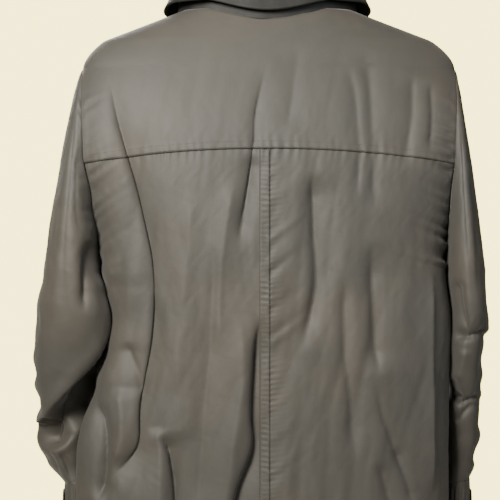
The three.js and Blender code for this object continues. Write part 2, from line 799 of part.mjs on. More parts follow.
// A low bridge on the slider's face, drilled across for the pull's pin.
function sliderBridge(face) {
  const top = face + BRIDGE_HEIGHT;
  const shape = new THREE.Shape([
    new THREE.Vector2(-4.2, face - 0.5),
    new THREE.Vector2(4.2, face - 0.5),
    new THREE.Vector2(3.2, top - 0.6),
    new THREE.Vector2(2.4, top),
    new THREE.Vector2(-2.4, top),
    new THREE.Vector2(-3.2, top - 0.6),
  ]);
  const web = new THREE.ExtrudeGeometry(shape, { depth: 2 * BRIDGE_HALF, bevelEnabled: false });
  // Drawn with the zip's Z along the drawing's X.
  web.translate(0, 0, -BRIDGE_HALF);
  web.applyMatrix4(new THREE.Matrix4().makeBasis(AXIS_Z, AXIS_Y, AXIS_X_BACK));
  const hole = new THREE.CylinderGeometry(PIN_RADIUS + PIN_CLEAR, PIN_RADIUS + PIN_CLEAR, 10, 12);
  hole.rotateZ(Math.PI / 2).translate(0, pinHeight, 0);
  return solid(web).subtract(solid(hole));
}

// The pull hangs from a pin through the bridge, with an arm each side of it.
function pull() {
  const arm = BRIDGE_HALF + 0.35;
  const half = PULL_THICK / 2;
  const low = -PULL_LENGTH;
  const outline = new THREE.Shape();
  outline.moveTo(-PULL_HALF + 0.6, 1);
  outline.lineTo(PULL_HALF - 0.6, 1);
  outline.lineTo(PULL_HALF, 0);
  outline.lineTo(PULL_HALF - 0.5, -8);
  outline.lineTo(PULL_HALF + 0.3, low + 3);
  outline.quadraticCurveTo(PULL_HALF, low, 0, low);
  outline.quadraticCurveTo(-PULL_HALF, low, -PULL_HALF - 0.3, low + 3);
  outline.lineTo(-PULL_HALF + 0.5, -8);
  outline.lineTo(-PULL_HALF, 0);
  const plate = new THREE.ExtrudeGeometry(outline, {
    depth: PULL_THICK,
    bevelEnabled: false,
    curveSegments: 5,
  });
  plate.translate(0, 0, -half).rotateX(Math.PI / 2);
  const pin = new THREE.CylinderGeometry(PIN_RADIUS, PIN_RADIUS, 2 * arm + 0.6, 12);
  const mouth = block(-arm, arm, -4, 4, -6, 4);
  return solid(plate).subtract(solid(mouth)).add(solid(pin.rotateZ(Math.PI / 2)));
}

const AXIS_Y = new THREE.Vector3(0, 1, 0);
const AXIS_Z = new THREE.Vector3(0, 0, 1);
const AXIS_X_BACK = new THREE.Vector3(-1, 0, 0);
const pinHeight = SLIDER_THICK / 2 + BRIDGE_HEIGHT / 2 + 0.1;

function addSlider(name, group, z) {
  addPiece(name + "_slider", sliderBody(), zipMetal, group).position.z = z;
  addPiece(name + "_pull", pull(), zipMetal, group).position.set(0, pinHeight, z);
}

function addFrontZip() {
  const group = new THREE.Group();
  // The chain's middle lies behind the panels, so that the tape backs their edges.
  const chainY = bodyY - FRONT_DEPTH + CLOTH + GAP + TAPE_THICK / 2;
  group.position.set(0, chainY, 0);
  group.rotation.z = Math.PI;
  jacket.add(group);
  const boxTop = -BACK_LENGTH + ZIP_BOX_HEIGHT + 2;
  for (const [side, out] of [["left", -1], ["right", 1]]) {
    const half = chainHalf(out, boxTop + GAP, -ZIP_TOP, TAPE_HALF);
    addPiece("front_zip_teeth_" + side, half.teeth, teethPlastic, group);
    addPiece("front_zip_tape_" + side, half.tape, tapeCloth, group);
  }
  addSlider("front_zip", group, -ZIP_TOP - SLIDER_LENGTH / 2 - 2);
  const box = block(-4.5, 4.5, -2.6, 2.6, boxTop - ZIP_BOX_HEIGHT, boxTop);
  addPiece("front_zip_box", box, teethPlastic, group);

  const guard = [-GUARD_BACK - FACING, -GUARD_BACK];
  const guardTop = -ZIP_TOP - 10;
  const plate = solid(block(-GUARD_HALF, GUARD_HALF, ...guard, -BACK_LENGTH + 6, guardTop));
  // A folded edge carries the guard on the left tape.
  const fold = solid(
    block(-TAPE_HALF, -TAPE_HALF + 5, -GUARD_BACK - 0.5, -TAPE_THICK / 2 - GAP, hemTop, guardTop),
  );
  addPiece("wind_guard", plate.add(fold), shellCloth, group);
  addGarage(group);
}

// A small cloth hood over the top of the front zip.
function addGarage(group) {
  const outer = CLOTH + GAP + TAPE_THICK / 2 + GAP;
  const cap = block(-13, 13, outer, outer + FACING, -ZIP_TOP + 1, -ZIP_TOP + 16);
  addPiece("zip_garage", cap, shellCloth, group);
}

// The frame of a hand pocket's zip: Y out of the front panel, Z up along the zip.
function pocketFrame(out) {
  const place = (x, z) => {
    const y = bodyY - bodyDepth(x, z, depthFront(z));
    return new THREE.Vector3(out * x, y, z);
  };
  const run = (POCKET_LENGTH / 2) * Math.sin(POCKET_SLANT);
  const rise = (POCKET_LENGTH / 2) * Math.cos(POCKET_SLANT);
  const top = place(POCKET_X - run, -POCKET_DEPTH + rise);
  const end = place(POCKET_X + run, -POCKET_DEPTH - rise);
  const up = top.clone().sub(end).normalize();
  const side = place(POCKET_X + 8, -POCKET_DEPTH).sub(place(POCKET_X - 8, -POCKET_DEPTH));
  const normal = side.cross(up).normalize();
  if (normal.y > 0) normal.negate();
  const across = normal.clone().cross(up).normalize();
  const frame = new THREE.Matrix4().makeBasis(across, normal, up);
  return frame.setPosition(place(POCKET_X, -POCKET_DEPTH));
}

function addPocket(side, out) {
  const group = new THREE.Group();
  group.applyMatrix4(pocketFrame(out));
  jacket.add(group);
  const half = POCKET_LENGTH / 2 - 4;
  const chain = [-1, 1].map((way) => {
    const part = chainHalf(way, -half, half, POCKET_TAPE_HALF);
    const join = [way * (CHAIN_HALF - 0.5), way * (CHAIN_HALF + 1)].sort((a, b) => a - b);
    const web = block(...join, -TAPE_THICK / 2, TAPE_THICK / 2, -half, half);
    return solid(part.teeth).add(solid(part.tape)).add(solid(web));
  });
  const end = (z0, z1) => {
    return solid(block(-POCKET_TAPE_HALF, POCKET_TAPE_HALF, -TAPE_THICK / 2, TAPE_THICK / 2, z0, z1));
  };
  const zip = chain[0]
    .add(chain[1])
    .add(end(half - 0.5, half + 8))
    .add(end(-half - 8, -half + 0.5));
  addPiece("pocket_zip_" + side, zip, tapeCloth, group).position.y = -POCKET_SINK;

  const runner = new THREE.Group();
  runner.position.y = -POCKET_SINK;
  group.add(runner);
  addSlider("pocket_zip_" + side, runner, half - SLIDER_LENGTH / 2 - 3);

  // The welt covers the outer edge of the slot, towards the side seam.
  const away = -out;
  const welt = [away * (POCKET_SLOT_HALF - 1), away * (POCKET_SLOT_HALF - 1 + WELT_WIDTH)];
  const [x0, x1] = welt.sort((a, b) => a - b);
  const strip = block(x0, x1, GAP + 0.3, GAP + 0.3 + FACING, -half - 4, half + 4);
  addPiece("pocket_welt_" + side, strip, shellCloth, group);
  addPocketBag(side, out);
}

function addPocketBag(side, out) {
  const high = -POCKET_DEPTH + POCKET_LENGTH / 2 + BAG_RISE;
  const low = -POCKET_DEPTH - POCKET_LENGTH / 2 - BAG_DROP;
  // Its top edge is sewn to the panel, and the rest passes behind the zip.
  const edgeDepth = CLOTH + GAP + 0.4;
  const clearDepth = POCKET_SINK + SLIDER_THICK / 2 + 2.4;
  const point = (u, v) => {
    const z = lerp(low, high, v ** 0.35);
    const x = POCKET_X + 22 - BAG_WIDTH * u;
    const inside = v === 1 ? edgeDepth : clearDepth;
    const y = bodyY - bodyDepth(x, z, depthFront(z)) + inside;
    return new THREE.Vector3(out * x, y, z);
  };
  const bag = sheet(point, () => new THREE.Vector3(0, -1, 0), BAG_THICK, 6, 3);
  addPiece("pocket_bag_" + side, bag, liningCloth);
}

// The turn about Z that faces a piece out of the front at x.
function faceTurn(x, z) {
  const y = (at) => -bodyDepth(at, z, depthFront(z));
  return Math.atan2(y(x + 5) - y(x - 5), 10);
}

addBodyPanels();
addEyelets();
addSleeves();
addCollar();
addHangLoop();
addYokeLining();
addFrontZip();
addPocket("left", 1);
addPocket("right", -1);

export default jacket;
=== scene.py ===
"""Looks of a hanging hardshell jacket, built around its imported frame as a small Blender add-on."""

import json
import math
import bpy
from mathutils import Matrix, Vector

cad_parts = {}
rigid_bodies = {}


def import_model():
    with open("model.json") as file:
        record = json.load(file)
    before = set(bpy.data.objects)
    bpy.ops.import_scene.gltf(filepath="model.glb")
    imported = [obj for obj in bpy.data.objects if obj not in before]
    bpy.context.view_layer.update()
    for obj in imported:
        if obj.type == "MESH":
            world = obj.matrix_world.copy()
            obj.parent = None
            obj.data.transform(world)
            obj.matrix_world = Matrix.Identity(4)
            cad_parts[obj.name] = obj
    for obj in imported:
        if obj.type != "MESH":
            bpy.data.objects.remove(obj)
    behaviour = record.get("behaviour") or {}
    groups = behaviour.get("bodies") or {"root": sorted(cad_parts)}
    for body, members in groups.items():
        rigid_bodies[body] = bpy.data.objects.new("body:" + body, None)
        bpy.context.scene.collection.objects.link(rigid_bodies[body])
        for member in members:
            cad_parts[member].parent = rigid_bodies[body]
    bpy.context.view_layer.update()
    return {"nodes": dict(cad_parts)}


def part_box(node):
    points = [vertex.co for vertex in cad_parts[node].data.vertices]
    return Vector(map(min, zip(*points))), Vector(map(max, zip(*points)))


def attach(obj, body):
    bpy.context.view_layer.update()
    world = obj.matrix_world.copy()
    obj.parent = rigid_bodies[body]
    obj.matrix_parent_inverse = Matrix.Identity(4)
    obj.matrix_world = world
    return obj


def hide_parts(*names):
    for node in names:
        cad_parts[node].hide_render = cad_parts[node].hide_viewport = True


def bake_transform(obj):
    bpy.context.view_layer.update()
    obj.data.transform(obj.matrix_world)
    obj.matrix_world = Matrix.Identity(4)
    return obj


bl_info = {
    "name": "Hanging Shell Jacket",
    "version": (1, 0, 0),
    "blender": (4, 5, 0),
    "location": "3D View > Sidebar > Jacket",
    "description": "Sews a shell jacket with collar, zips and cuffs around its frame",
    "category": "Object",
}

import bmesh
import bpy
import numpy as np
from bpy.props import FloatProperty, FloatVectorProperty, PointerProperty
from mathutils import Matrix, Vector
from mathutils.bvhtree import BVHTree

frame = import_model()

# Levels that the pieces share, in metres, read from the frame where a node gives them.
HEM_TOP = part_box("hem_band")[1][2]
HEM_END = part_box("hem_band")[0][2]
CUFF_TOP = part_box("cuff_left")[1][2]
CUFF_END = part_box("cuff_left")[0][2]
FRONT_YOKE_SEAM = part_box("front_panel_left")[1][2] + 0.0003
SEAM_Y = -0.034735
ARMPIT = -0.345
CAP_TOP = -0.065
YOKE_SEAM = -0.181
YOKE_DIP = 0.018
NECK_HALF = (0.1253, 0.0648)
NECK_Y = SEAM_Y - 0.0232
FRONT_EDGE = 0.009
LAP = 0.011
BACK, FRONT = 1, -1
SIDES = {"left": 1, "right": -1}


# ---------------------------------------------------------------- plain arithmetic

def clamp(t):
    return np.clip(t, 0.0, 1.0)


def mix(a, b, t):
    return a + (b - a) * t


def smooth(t, a, b):
    t = clamp((t - a) / (b - a))
    return t * t * (3 - 2 * t)


def keyed(z, *keys):
    """Smooth curve through (height, value) keys, highest first."""
    z = np.asarray(z, float)
    out = np.full(z.shape, keys[0][1])
    for (top, a), (low, b) in zip(keys, keys[1:]):
        out = np.where(z < top, mix(a, b, smooth(-z, -top, -low)), out)
    return out


def spread(bump_at, width, z):
    return np.exp(-(((z - bump_at) / width) ** 2))


def rounded(points, steps=8):
    """Points along a soft curve through a short list of (x, z) pairs."""
    p = [np.array(q, float) for q in points]
    p = [2 * p[0] - p[1]] + p + [2 * p[-1] - p[-2]]
    out = []
    for a, b, c, d in zip(p, p[1:], p[2:], p[3:]):
        for k in range(steps):
            t = k / steps
            out.append(0.5 * (2 * b + (c - a) * t + (2 * a - 5 * b + 4 * c - d) * t ** 2
                              + (3 * b - a - 3 * c + d) * t ** 3))
    out.append(p[-2])
    return out


def beside(x, z, path):
    """Signed distance from a curve (positive on the left of its run) and the share of its length."""
    line = rounded(path)
    gaps = [float(np.hypot(*(b - a))) for a, b in zip(line, line[1:])]
    total = sum(gaps)
    best = np.full(np.shape(x), 9.0)
    hand = np.ones(np.shape(x))
    run = np.zeros(np.shape(x))
    gone = 0.0
    for a, b, gap in zip(line, line[1:], gaps):
        dx, dz = b - a
        t = clamp(((x - a[0]) * dx + (z - a[1]) * dz) / (gap * gap))
        far = np.hypot(x - a[0] - t * dx, z - a[1] - t * dz)
        near = far < best
        best = np.where(near, far, best)
        hand = np.where(near, np.sign(dx * (z - a[1]) - dz * (x - a[0])), hand)
        run = np.where(near, (gone + t * gap) / total, run)
        gone += gap
    return best * hand, run, total


def crease(x, z, path, depth, left, right, start=0.2, end=0.2):
    """A valley along a path. left and right are how far its two walls reach."""
    off, run, _ = beside(x, z, path)
    wall = np.where(off > 0, left, right)
    taper = smooth(run, 0, start) * smooth(1 - run, 0, end)
    return -depth * taper * np.exp(-np.abs(off / wall) ** 1.12)


def lap_over(x, z, path, reach, amount, start=0.25, end=0.15):
    """How far the cloth on the left of a path slides over the valley beside it."""
    off, run, _ = beside(x, z, path)
    near = np.where(off > 0, off / reach, 0.0)
    return amount * near * np.exp(1 - near) * smooth(run, 0, start) * smooth(1 - run, 0, end)


def gather(x, z, path, pitch, reach, depth, lean=0.0, side=0, seed=0.0):
    """Small puckers that run away from a seam."""
    off, run, total = beside(x, z, path)
    along = run * total + np.abs(off) * lean
    wobble = 1.3 * np.sin(along * 61 + seed) + 0.8 * np.sin(along * 137 + 2.1 * seed)
    waves = np.cos(2 * math.pi * along / pitch + wobble)
    size = 0.65 + 0.35 * np.sin(along * 47 + 1.7 * seed)
    keep = 1.0 if side == 0 else np.where(off * side > 0, 1.0, np.exp(-np.abs(off) / 0.0025))
    ends = smooth(run, 0, 0.05) * smooth(1 - run, 0, 0.05)
    return depth * size * waves * np.exp(-((np.abs(off) / reach) ** 1.2)) * keep * ends


def pleats(x, z, seed, pitch):
    """Long straight folds of thin crisp cloth, between 0 and 1: flat planes that meet in sharp lines."""
    u = x / pitch + 0.9 * np.sin(z * 4.3 + seed) + 0.30 * np.sin(z * 11 + x * 9 + 2 * seed)
    u = u + 0.5 * np.sin(x * 23 + 1.7 * seed)
    here = 0.5 + 0.5 * np.sin(z * 13 + x * 31 + seed) * np.sin(z * 5.5 - x * 17 + 2.3 * seed)
    return here * (1 - np.abs(np.sin(math.pi * u)))


def drape(x, z, seed, scale=1.0, stretch=3.0):
    """Soft uneven cloth surface between -1 and 1, drawn out along the height."""
    x = x * scale
    z = z * scale / stretch
    wx = x + 0.012 * np.sin(z * 90 + seed) + 0.006 * np.sin(z * 210 + x * 60 + 2 * seed)
    wz = z + 0.010 * np.sin(x * 80 + 1.3 * seed)
    out = 0.42 * np.sin(wx * 118 + wz * 21 + seed)
    out += 0.27 * np.sin(wx * 197 - wz * 66 + 2.4 * seed)
    out += 0.18 * np.sin(wx * 291 + wz * 143 + 3.1 * seed)
    out += 0.13 * np.sin(wx * 433 - wz * 201 + 4.7 * seed)
    return out


# ---------------------------------------------------------------- the body's shape

def fall(z, height):
    return 1 - (1 - clamp((0.016 - z) / height)) ** 2


def back_depth(z):
    return mix(0.034, 0.098, fall(z, 0.260))


def front_depth(z):
    return mix(0.034, 0.092, fall(z, 0.076))


def squareness(z):
    return mix(2.3, 3.0, smooth(-z, 0, 0.12))


def armhole(z, left):
    on_left = keyed(z, (CAP_TOP, 0.2565), (-0.1, 0.2550), (-0.181, 0.2515), (-0.25, 0.241), (-0.30, 0.234),
                    (ARMPIT, 0.231))
    on_right = keyed(z, (CAP_TOP, 0.2595), (-0.1, 0.2575), (-0.181, 0.2540), (-0.25, 0.249), (-0.30,
                0.2465),
                     (ARMPIT, 0.247))
    return np.where(left, on_left, on_right)


def cap_share(z):
    return clamp((CAP_TOP - z) / (CAP_TOP - ARMPIT))


def cap_depth(z):
    return 0.082 * np.sqrt(np.maximum(1 - (1 - cap_share(z)) ** 2.2, 1e-5))


def cap_turn(z):
    return math.pi / 2 * (1 + cap_share(z) ** 1.3)


def edge_depth(z):
    """How far the armhole edge stands from the plane of the side seams."""
    return cap_depth(z) * np.sin(cap_turn(z))


def body_width(z, left, psi):
    top = mix(0.117, 0.228, clamp((0.016 - z) / 0.043))
    turn = mix(0.228, armhole(np.full(np.shape(z), CAP_TOP), left),
               1 - (1 - clamp((-0.027 - z) / (-0.027 - CAP_TOP))) ** 1.7)
    n = squareness(z)
    deep = np.where(psi > 0, back_depth(z), front_depth(z))
    edge = np.minimum(edge_depth(z) / deep, 0.95)
    beside_arm = armhole(z, left) / (1 - edge ** n) ** (1 / n)
    low_left = keyed(z, (ARMPIT, 0.231), (-0.37, 0.2255), (-0.41, 0.2200), (-0.45, 0.2240), (-0.50, 0.2395),
                     (-0.55, 0.2490), (-0.66, 0.250), (-0.76, 0.254))
    low_right = keyed(z, (ARMPIT, 0.247), (-0.41, 0.252), (-0.50, 0.252), (-0.66, 0.251), (-0.76, 0.252))
    low = np.where(left, low_left, low_right)
    lobe = np.where(left, 0.020 * smooth(-z, 0.49, 0.60), 0.004 * spread(-0.43, 0.05, z))
    low = low + lobe * smooth(np.sin(psi), 0.08, 0.42)
    wide = np.where(z > -0.027, top, np.where(z > CAP_TOP, turn, beside_arm))
    return np.where(z > ARMPIT, wide, low)


def side_turn(z, left, psi_sign):
    """Angle at which the body's ring meets the armhole, 0 where it reaches the side seam."""
    psi = np.full(np.shape(z), 0.01 * psi_sign)
    n = squareness(z)
    ratio = body_width(z, left, psi) / armhole(z, left)
    angle = np.arctan(np.maximum(ratio ** n - 1, 0) ** (1 / n))
    return np.where((z < CAP_TOP) & (z > ARMPIT), angle, 0.0)


def ring(psi, z):
    """A point of the body at angle psi (0 at the left side, pi/2 at the back) and height z."""
    left = np.cos(psi) > 0
    w = body_width(z, left, psi)
    d = np.where(psi > 0, back_depth(z), front_depth(z))
    n = squareness(z)
    c, s = np.cos(psi), np.sin(psi)
    rho = (np.abs(c) ** n + np.abs(s) ** n) ** (-1 / n)
    x, y = w * c * rho, d * s * rho
    gx = np.sign(c) * np.abs(x / w) ** (n - 1) / w
    gy = np.sign(s) * np.abs(y / d) ** (n - 1) / d
    length = np.hypot(gx, gy) + 1e-9
    return x, SEAM_Y + y, gx / length, gy / length


def body_angle(t, z, facing):
    """t runs 0 to 1 from the left side seam or armhole to the right one."""
    start = side_turn(z, True, facing)
    stop = side_turn(z, False, facing)
    return facing * mix(start, math.pi - stop, t)


def neck_height(t, facing):
    """Height at which column t of the yoke meets the neck seam."""
    low, high = np.full(np.shape(t), -0.085), np.full(np.shape(t), 0.016)
    for _ in range(30):
        mid = (low + high) / 2
        x, y, _, _ = ring(body_angle(t, mid, facing), mid)
        inside = (x / NECK_HALF[0]) ** 2 + ((y - NECK_Y) / NECK_HALF[1]) ** 2 < 1
        low, high = np.where(inside, low, mid), np.where(inside, mid, high)
    return (low + high) / 2


def yoke_seam_height(x):
    return YOKE_SEAM - YOKE_DIP * (x / 0.249) ** 2


# ---------------------------------------------------------------- folds of the hanging cloth

LEFT_ARMHOLE = ((0.2550, -0.10), (0.2515, -0.181), (0.241, -0.25), (0.234, -0.30), (0.231, -0.345))
RIGHT_ARMHOLE = ((-0.2575, -0.10), (-0.254, -0.181), (-0.249, -0.25), (-0.2465, -0.30), (-0.247, -0.345))
BACK_SEAM = ((-0.001, -0.18), (-0.002, -0.40), (-0.001, -0.735))
YOKE_LINE = ((0.248, -0.1985), (0.13, -0.186), (0.0, -0.181), (-0.13, -0.186), (-0.248, -0.1985))
HANGER_FOLD = ((0.2217, -0.042), (0.208, -0.129), (0.193, -0.193), (0.174, -0.272), (0.1605, -0.345),
               (0.163, -0.4325), (0.178, -0.5195), (0.182, -0.583), (0.2176, -0.631))
CENTRE_FOLD = ((0.000, -0.058), (0.0177, -0.129), (0.0218, -0.185), (0.0408, -0.302))
LOW_FOLD = ((0.006, -0.40), (0.0215, -0.455), (0.0265, -0.53), (0.025, -0.583), (0.045, -0.64), (0.057,
            -0.71))
LOBE_FOLD = ((0.143, -0.560), (0.135, -0.60), (0.129, -0.655), (0.132, -0.735))
RIGHT_BAND = ((-0.0585, -0.21), (-0.0605, -0.29), (-0.0626, -0.367), (-0.0435, -0.454))
RIGHT_LONG = ((-0.139, -0.30), (-0.140, -0.36), (-0.143, -0.42), (-0.148, -0.487))


def back_folds(x, z):
    h = crease(x, z, HANGER_FOLD, 0.0145, 0.0085, 0.040, 0.30, 0.10)
    h += crease(x, z, CENTRE_FOLD, 0.0040, 0.0060, 0.0130, 0.30, 0.30)
    h += crease(x, z, ((0.0215, -0.187), (0.029, -0.24), (0.042, -0.32)), 0.0070, 0.010, 0.016, 0.15, 0.3)
    h += crease(x, z, ((0.045, -0.21), (0.052, -0.26), (0.062, -0.34), (0.068, -0.46)), -0.0045, 0.014,
                0.014)
    h += crease(x, z, ((-0.043, -0.03), (-0.035, -0.09), (-0.025, -0.16)), 0.0025, 0.012, 0.014)
    h += crease(x, z, ((-0.128, -0.04), (-0.136, -0.09), (-0.140, -0.18), (-0.141, -0.27)), 0.0052, 0.008,
                0.022)
    h += crease(x, z, ((-0.105, -0.06), (-0.117, -0.11), (-0.121, -0.19), (-0.119, -0.25)), 0.0038, 0.010,
                0.008)
    h += crease(x, z, ((-0.197, -0.075), (-0.195, -0.13), (-0.187, -0.18), (-0.182, -0.21)), 0.0058,
                0.016, 0.009)
    h += crease(x, z, ((-0.221, -0.085), (-0.222, -0.14), (-0.217, -0.188)), 0.0045, 0.006, 0.009)
    h += crease(x, z, RIGHT_BAND, 0.0115, 0.0075, 0.019, 0.15, 0.25)
    h += crease(x, z, RIGHT_LONG, 0.0105, 0.010, 0.020, 0.3, 0.2)
    h += crease(x, z, ((-0.104, -0.34), (-0.101, -0.43), (-0.110, -0.52), (-0.113, -0.60)), 0.0065, 0.008,
                0.014)
    h += crease(x, z, ((-0.140, -0.470), (-0.152, -0.530), (-0.166, -0.570), (-0.190, -0.640)), 0.0060,
                0.007, 0.016, 0.4, 0.4)
    h += crease(x, z, ((-0.170, -0.580), (-0.184, -0.615), (-0.196, -0.66)), 0.0045, 0.006, 0.007)
    h += crease(x, z, ((-0.147, -0.600), (-0.160, -0.64), (-0.172, -0.70)), 0.0050, 0.006, 0.009)
    h += crease(x, z, ((-0.223, -0.33), (-0.2215, -0.42), (-0.222, -0.52), (-0.223, -0.66)), -0.0055,
                0.010, 0.006)
    h += crease(x, z, LOW_FOLD, 0.0155, 0.0050, 0.030, 0.2, 0.12)
    h += crease(x, z, ((0.036, -0.40), (0.040, -0.50), (0.052, -0.60), (0.074, -0.72)), -0.0065, 0.012,
                0.010)
    h += crease(x, z, ((0.072, -0.30), (0.076, -0.42), (0.088, -0.55), (0.098, -0.70)), 0.0060, 0.018,
                0.016)
    h += crease(x, z, LOBE_FOLD, 0.0120, 0.0050, 0.020, 0.15, 0.05)
    h += crease(x, z, ((0.150, -0.553), (0.148, -0.60), (0.145, -0.735)), -0.0060, 0.012, 0.008, 0.1, 0.05)
    h += crease(x, z, ((0.198, -0.44), (0.187, -0.48), (0.182, -0.515)), 0.0050, 0.008, 0.006)
    h += crease(x, z, ((0.236, -0.52), (0.224, -0.565), (0.2235, -0.615), (0.232, -0.66)), 0.0130, 0.008,
                0.010)
    h += crease(x, z, ((0.206, -0.50), (0.203, -0.56), (0.212, -0.61)), -0.0060, 0.010, 0.012)
    h += crease(x, z, ((0.104, -0.235), (0.108, -0.32), (0.120, -0.42), (0.125, -0.52)), -0.0035, 0.022,
                0.020)
    h += gather(x, z, LEFT_ARMHOLE, 0.0190, 0.018, 0.0021, 0.55, -1, 1.0)
    h += gather(x, z, RIGHT_ARMHOLE, 0.0180, 0.020, 0.0036, 0.30, 1, 2.0)
    h += gather(x, z, BACK_SEAM, 0.0070, 0.010, 0.0008, 0.2, 0, 3.0)
    pulled = 0.45 + 0.55 * np.sin(z * 31 + 1.0) * np.sin(z * 12 + 0.4)
    h += pulled * gather(x, z, BACK_SEAM, 0.0390, 0.026, 0.0026, 0.75, -1, 4.0)
    h += gather(x, z, YOKE_LINE, 0.0115, 0.012, 0.0007, 0.1, 0, 5.0)
    low = smooth(-z, 0.10, 0.42)
    h += (0.0002 + 0.0006 * low) * drape(x, z, 1.0, 0.85, 5.5)
    h -= (0.0006 + 0.0018 * low) * pleats(x, z, 1.0, 0.062)
    h -= (0.0004 + 0.0009 * low) * pleats(x + 0.22 * z, z, 2.6, 0.049)
    h -= (0.0003 + 0.0006 * low) * pleats(x - 0.30 * z, z, 4.1, 0.055)
    h += 0.00022 * drape(x, z, 6.0, 2.3, 1.8) * smooth(-z, 0.04, 0.20)
    return h


def back_laps(x, z):
    """Sideways slide, towards the right, of the folds that hang over their own valleys."""
    slide = lap_over(x, z, HANGER_FOLD, 0.010, 0.0095, 0.35, 0.12)
    slide += lap_over(x, z, LOW_FOLD, 0.008, 0.0080, 0.25, 0.12)
    slide += lap_over(x, z, LOBE_FOLD, 0.008, 0.0060, 0.2, 0.05)
    slide += lap_over(x, z, CENTRE_FOLD, 0.006, 0.0030, 0.3, 0.2)
    return slide


def front_folds(x, z):
    ax = np.abs(x)
    h = crease(ax, z, ((0.212, -0.060), (0.190, -0.15), (0.165, -0.26), (0.150, -0.40)), 0.0085, 0.008,
               0.026)
    h += crease(ax, z, ((0.062, -0.16), (0.068, -0.30), (0.060, -0.46)), 0.0055, 0.010, 0.018)
    h += crease(ax, z, ((0.112, -0.11), (0.104, -0.22), (0.110, -0.36)), 0.0045, 0.012, 0.014)
    h += crease(ax, z, ((0.100, -0.50), (0.092, -0.60), (0.096, -0.72)), 0.0060, 0.010, 0.016)
    h += crease(ax, z, ((0.222, -0.45), (0.216, -0.56), (0.220, -0.70)), 0.0060, 0.008, 0.012)
    h += gather(ax, z, ((0.2475, -0.10), (0.246, -0.20), (0.238, -0.28), (0.236, -0.345)), 0.018, 0.018,
                0.0028, 0.4, -1, 7)
    low = smooth(-z, 0.10, 0.42)
    h += (0.0002 + 0.0007 * low) * drape(x, z, 3.3, 0.85, 5.0)
    h -= (0.0008 + 0.0026 * low) * pleats(x, z, 3.0, 0.055)
    h -= (0.0005 + 0.0012 * low) * pleats(x + 0.4 * z, z, 5.6, 0.044)
    h += 0.00022 * drape(x, z, 8.0, 2.3, 1.8)
    calm = 1 - smooth(ax, 0.012, 0.045)
    near_zip = 0.0009 * np.sin(z * 2 * math.pi / 0.021 + 0.8 * np.sin(z * 90)) * smooth(-z, 0.10, 0.14)
    pocket = spread(0.165, 0.034, ax) * spread(-0.56, 0.105, z)
    return h * (1 - calm) * (1 - 0.92 * pocket) + near_zip * calm * smooth(ax, 0.008, 0.016)


def body_point(t, z, facing, lift=0.0):
    psi = body_angle(t, z, facing)
    x, y, gx, gy = ring(psi, z)
    fold = back_folds(x, z) if facing == BACK else front_folds(x, z)
    edge = np.minimum(t, 1 - t)
    side = smooth(edge, 0.0, 0.035)
    level = smooth(-z, 0.030, 0.075)
    out = fold * side * level + lift
    if facing == BACK:
        x = x - side * level * back_laps(x, z)
    return x + gx * out, y + gy * out, z


# ---------------------------------------------------------------- making and finishing cloth

def settings():
    return bpy.context.scene.jacket


def finish_mesh(bm, name, materials, body="jacket", thick=0.0, inner=0, smooth_faces=True):
    """Turns a bmesh into a finished piece at the origin."""
    data = bpy.data.meshes.new(name)
    bm.to_mesh(data)
    bm.free()
    for polygon in data.polygons:
        polygon.use_smooth = smooth_faces
    piece = bpy.data.objects.new(name, data)
    bpy.context.scene.collection.objects.link(piece)
    for key in materials:
        data.materials.append(material(key))
    if thick:
        wall = piece.modifiers.new("wall", "SOLIDIFY")
        wall.thickness = thick
        wall.offset = -1
        wall.material_offset = inner
        wall.use_even_offset = False
    if body:
        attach(piece, body)
    return piece


def cloth_grid(columns, rows, place, size, outward):
    """A grid whose corner (0, 0) is top left. place(t, v) gives x, y, z; size is its flat size."""
    bm = bmesh.new()
    bmesh.ops.create_grid(bm, x_segments=columns, y_segments=rows, size=0.5)
    bm.verts.ensure_lookup_table()
    flat = np.array([v.co[:2] for v in bm.verts])
    t, v = clamp(flat[:, 0] + 0.5), clamp(0.5 - flat[:, 1])
    x, y, z = place(t, v)
    for vert, spot in zip(bm.verts, np.stack([x, y, np.broadcast_to(z, x.shape)], 1)):
        vert.co = spot
    layer = bm.loops.layers.uv.new("cloth")
    for face in bm.faces:
        for loop in face.loops:
            k = loop.vert.index
            loop[layer].uv = (t[k] * size[0], (1 - v[k]) * size[1])
    bm.normal_update()
    facing = sum(outward(f.calc_center_median()).dot(f.normal) for f in bm.faces)
    if facing < 0:
        bmesh.ops.reverse_faces(bm, faces=bm.faces)
    return bm


def from_axis(point):
    return Vector((point.x * 0.4, point.y - SEAM_Y, 0.02))


def join_into(target, other):
    """Adds one bmesh to another through a throwaway mesh."""
    data = bpy.data.meshes.new("join")
    other.to_mesh(data)
    other.free()
    target.from_mesh(data)
    bpy.data.meshes.remove(data)


def reachable(pieces):
    """A tree of the pieces' outer faces, for laying stitches on them."""
    bm = bmesh.new()
    for piece in pieces:
        bm.from_mesh(piece.data)
    tree = BVHTree.FromBMesh(bm)
    bm.free()
    return tree


def lay(tree, x, z, facing):
    hit = tree.ray_cast(Vector((x, facing * 0.4, z)), Vector((0, -facing, 0)))
    return hit[0], hit[1]


def stitch(bm, here, there, normal, width, height):
    along = (there - here).normalized()
    across = normal.cross(along).normalized()
    spin = Matrix((along, across, normal)).transposed().to_4x4()
    middle = (here + there) / 2 + normal * height * 0.2
    scale = Matrix.Diagonal(((there - here).length * 0.36, width / 2, height / 2, 1))
    bmesh.ops.create_icosphere(bm, subdivisions=1, radius=1,
                matrix=Matrix.Translation(middle) @ spin @ scale)


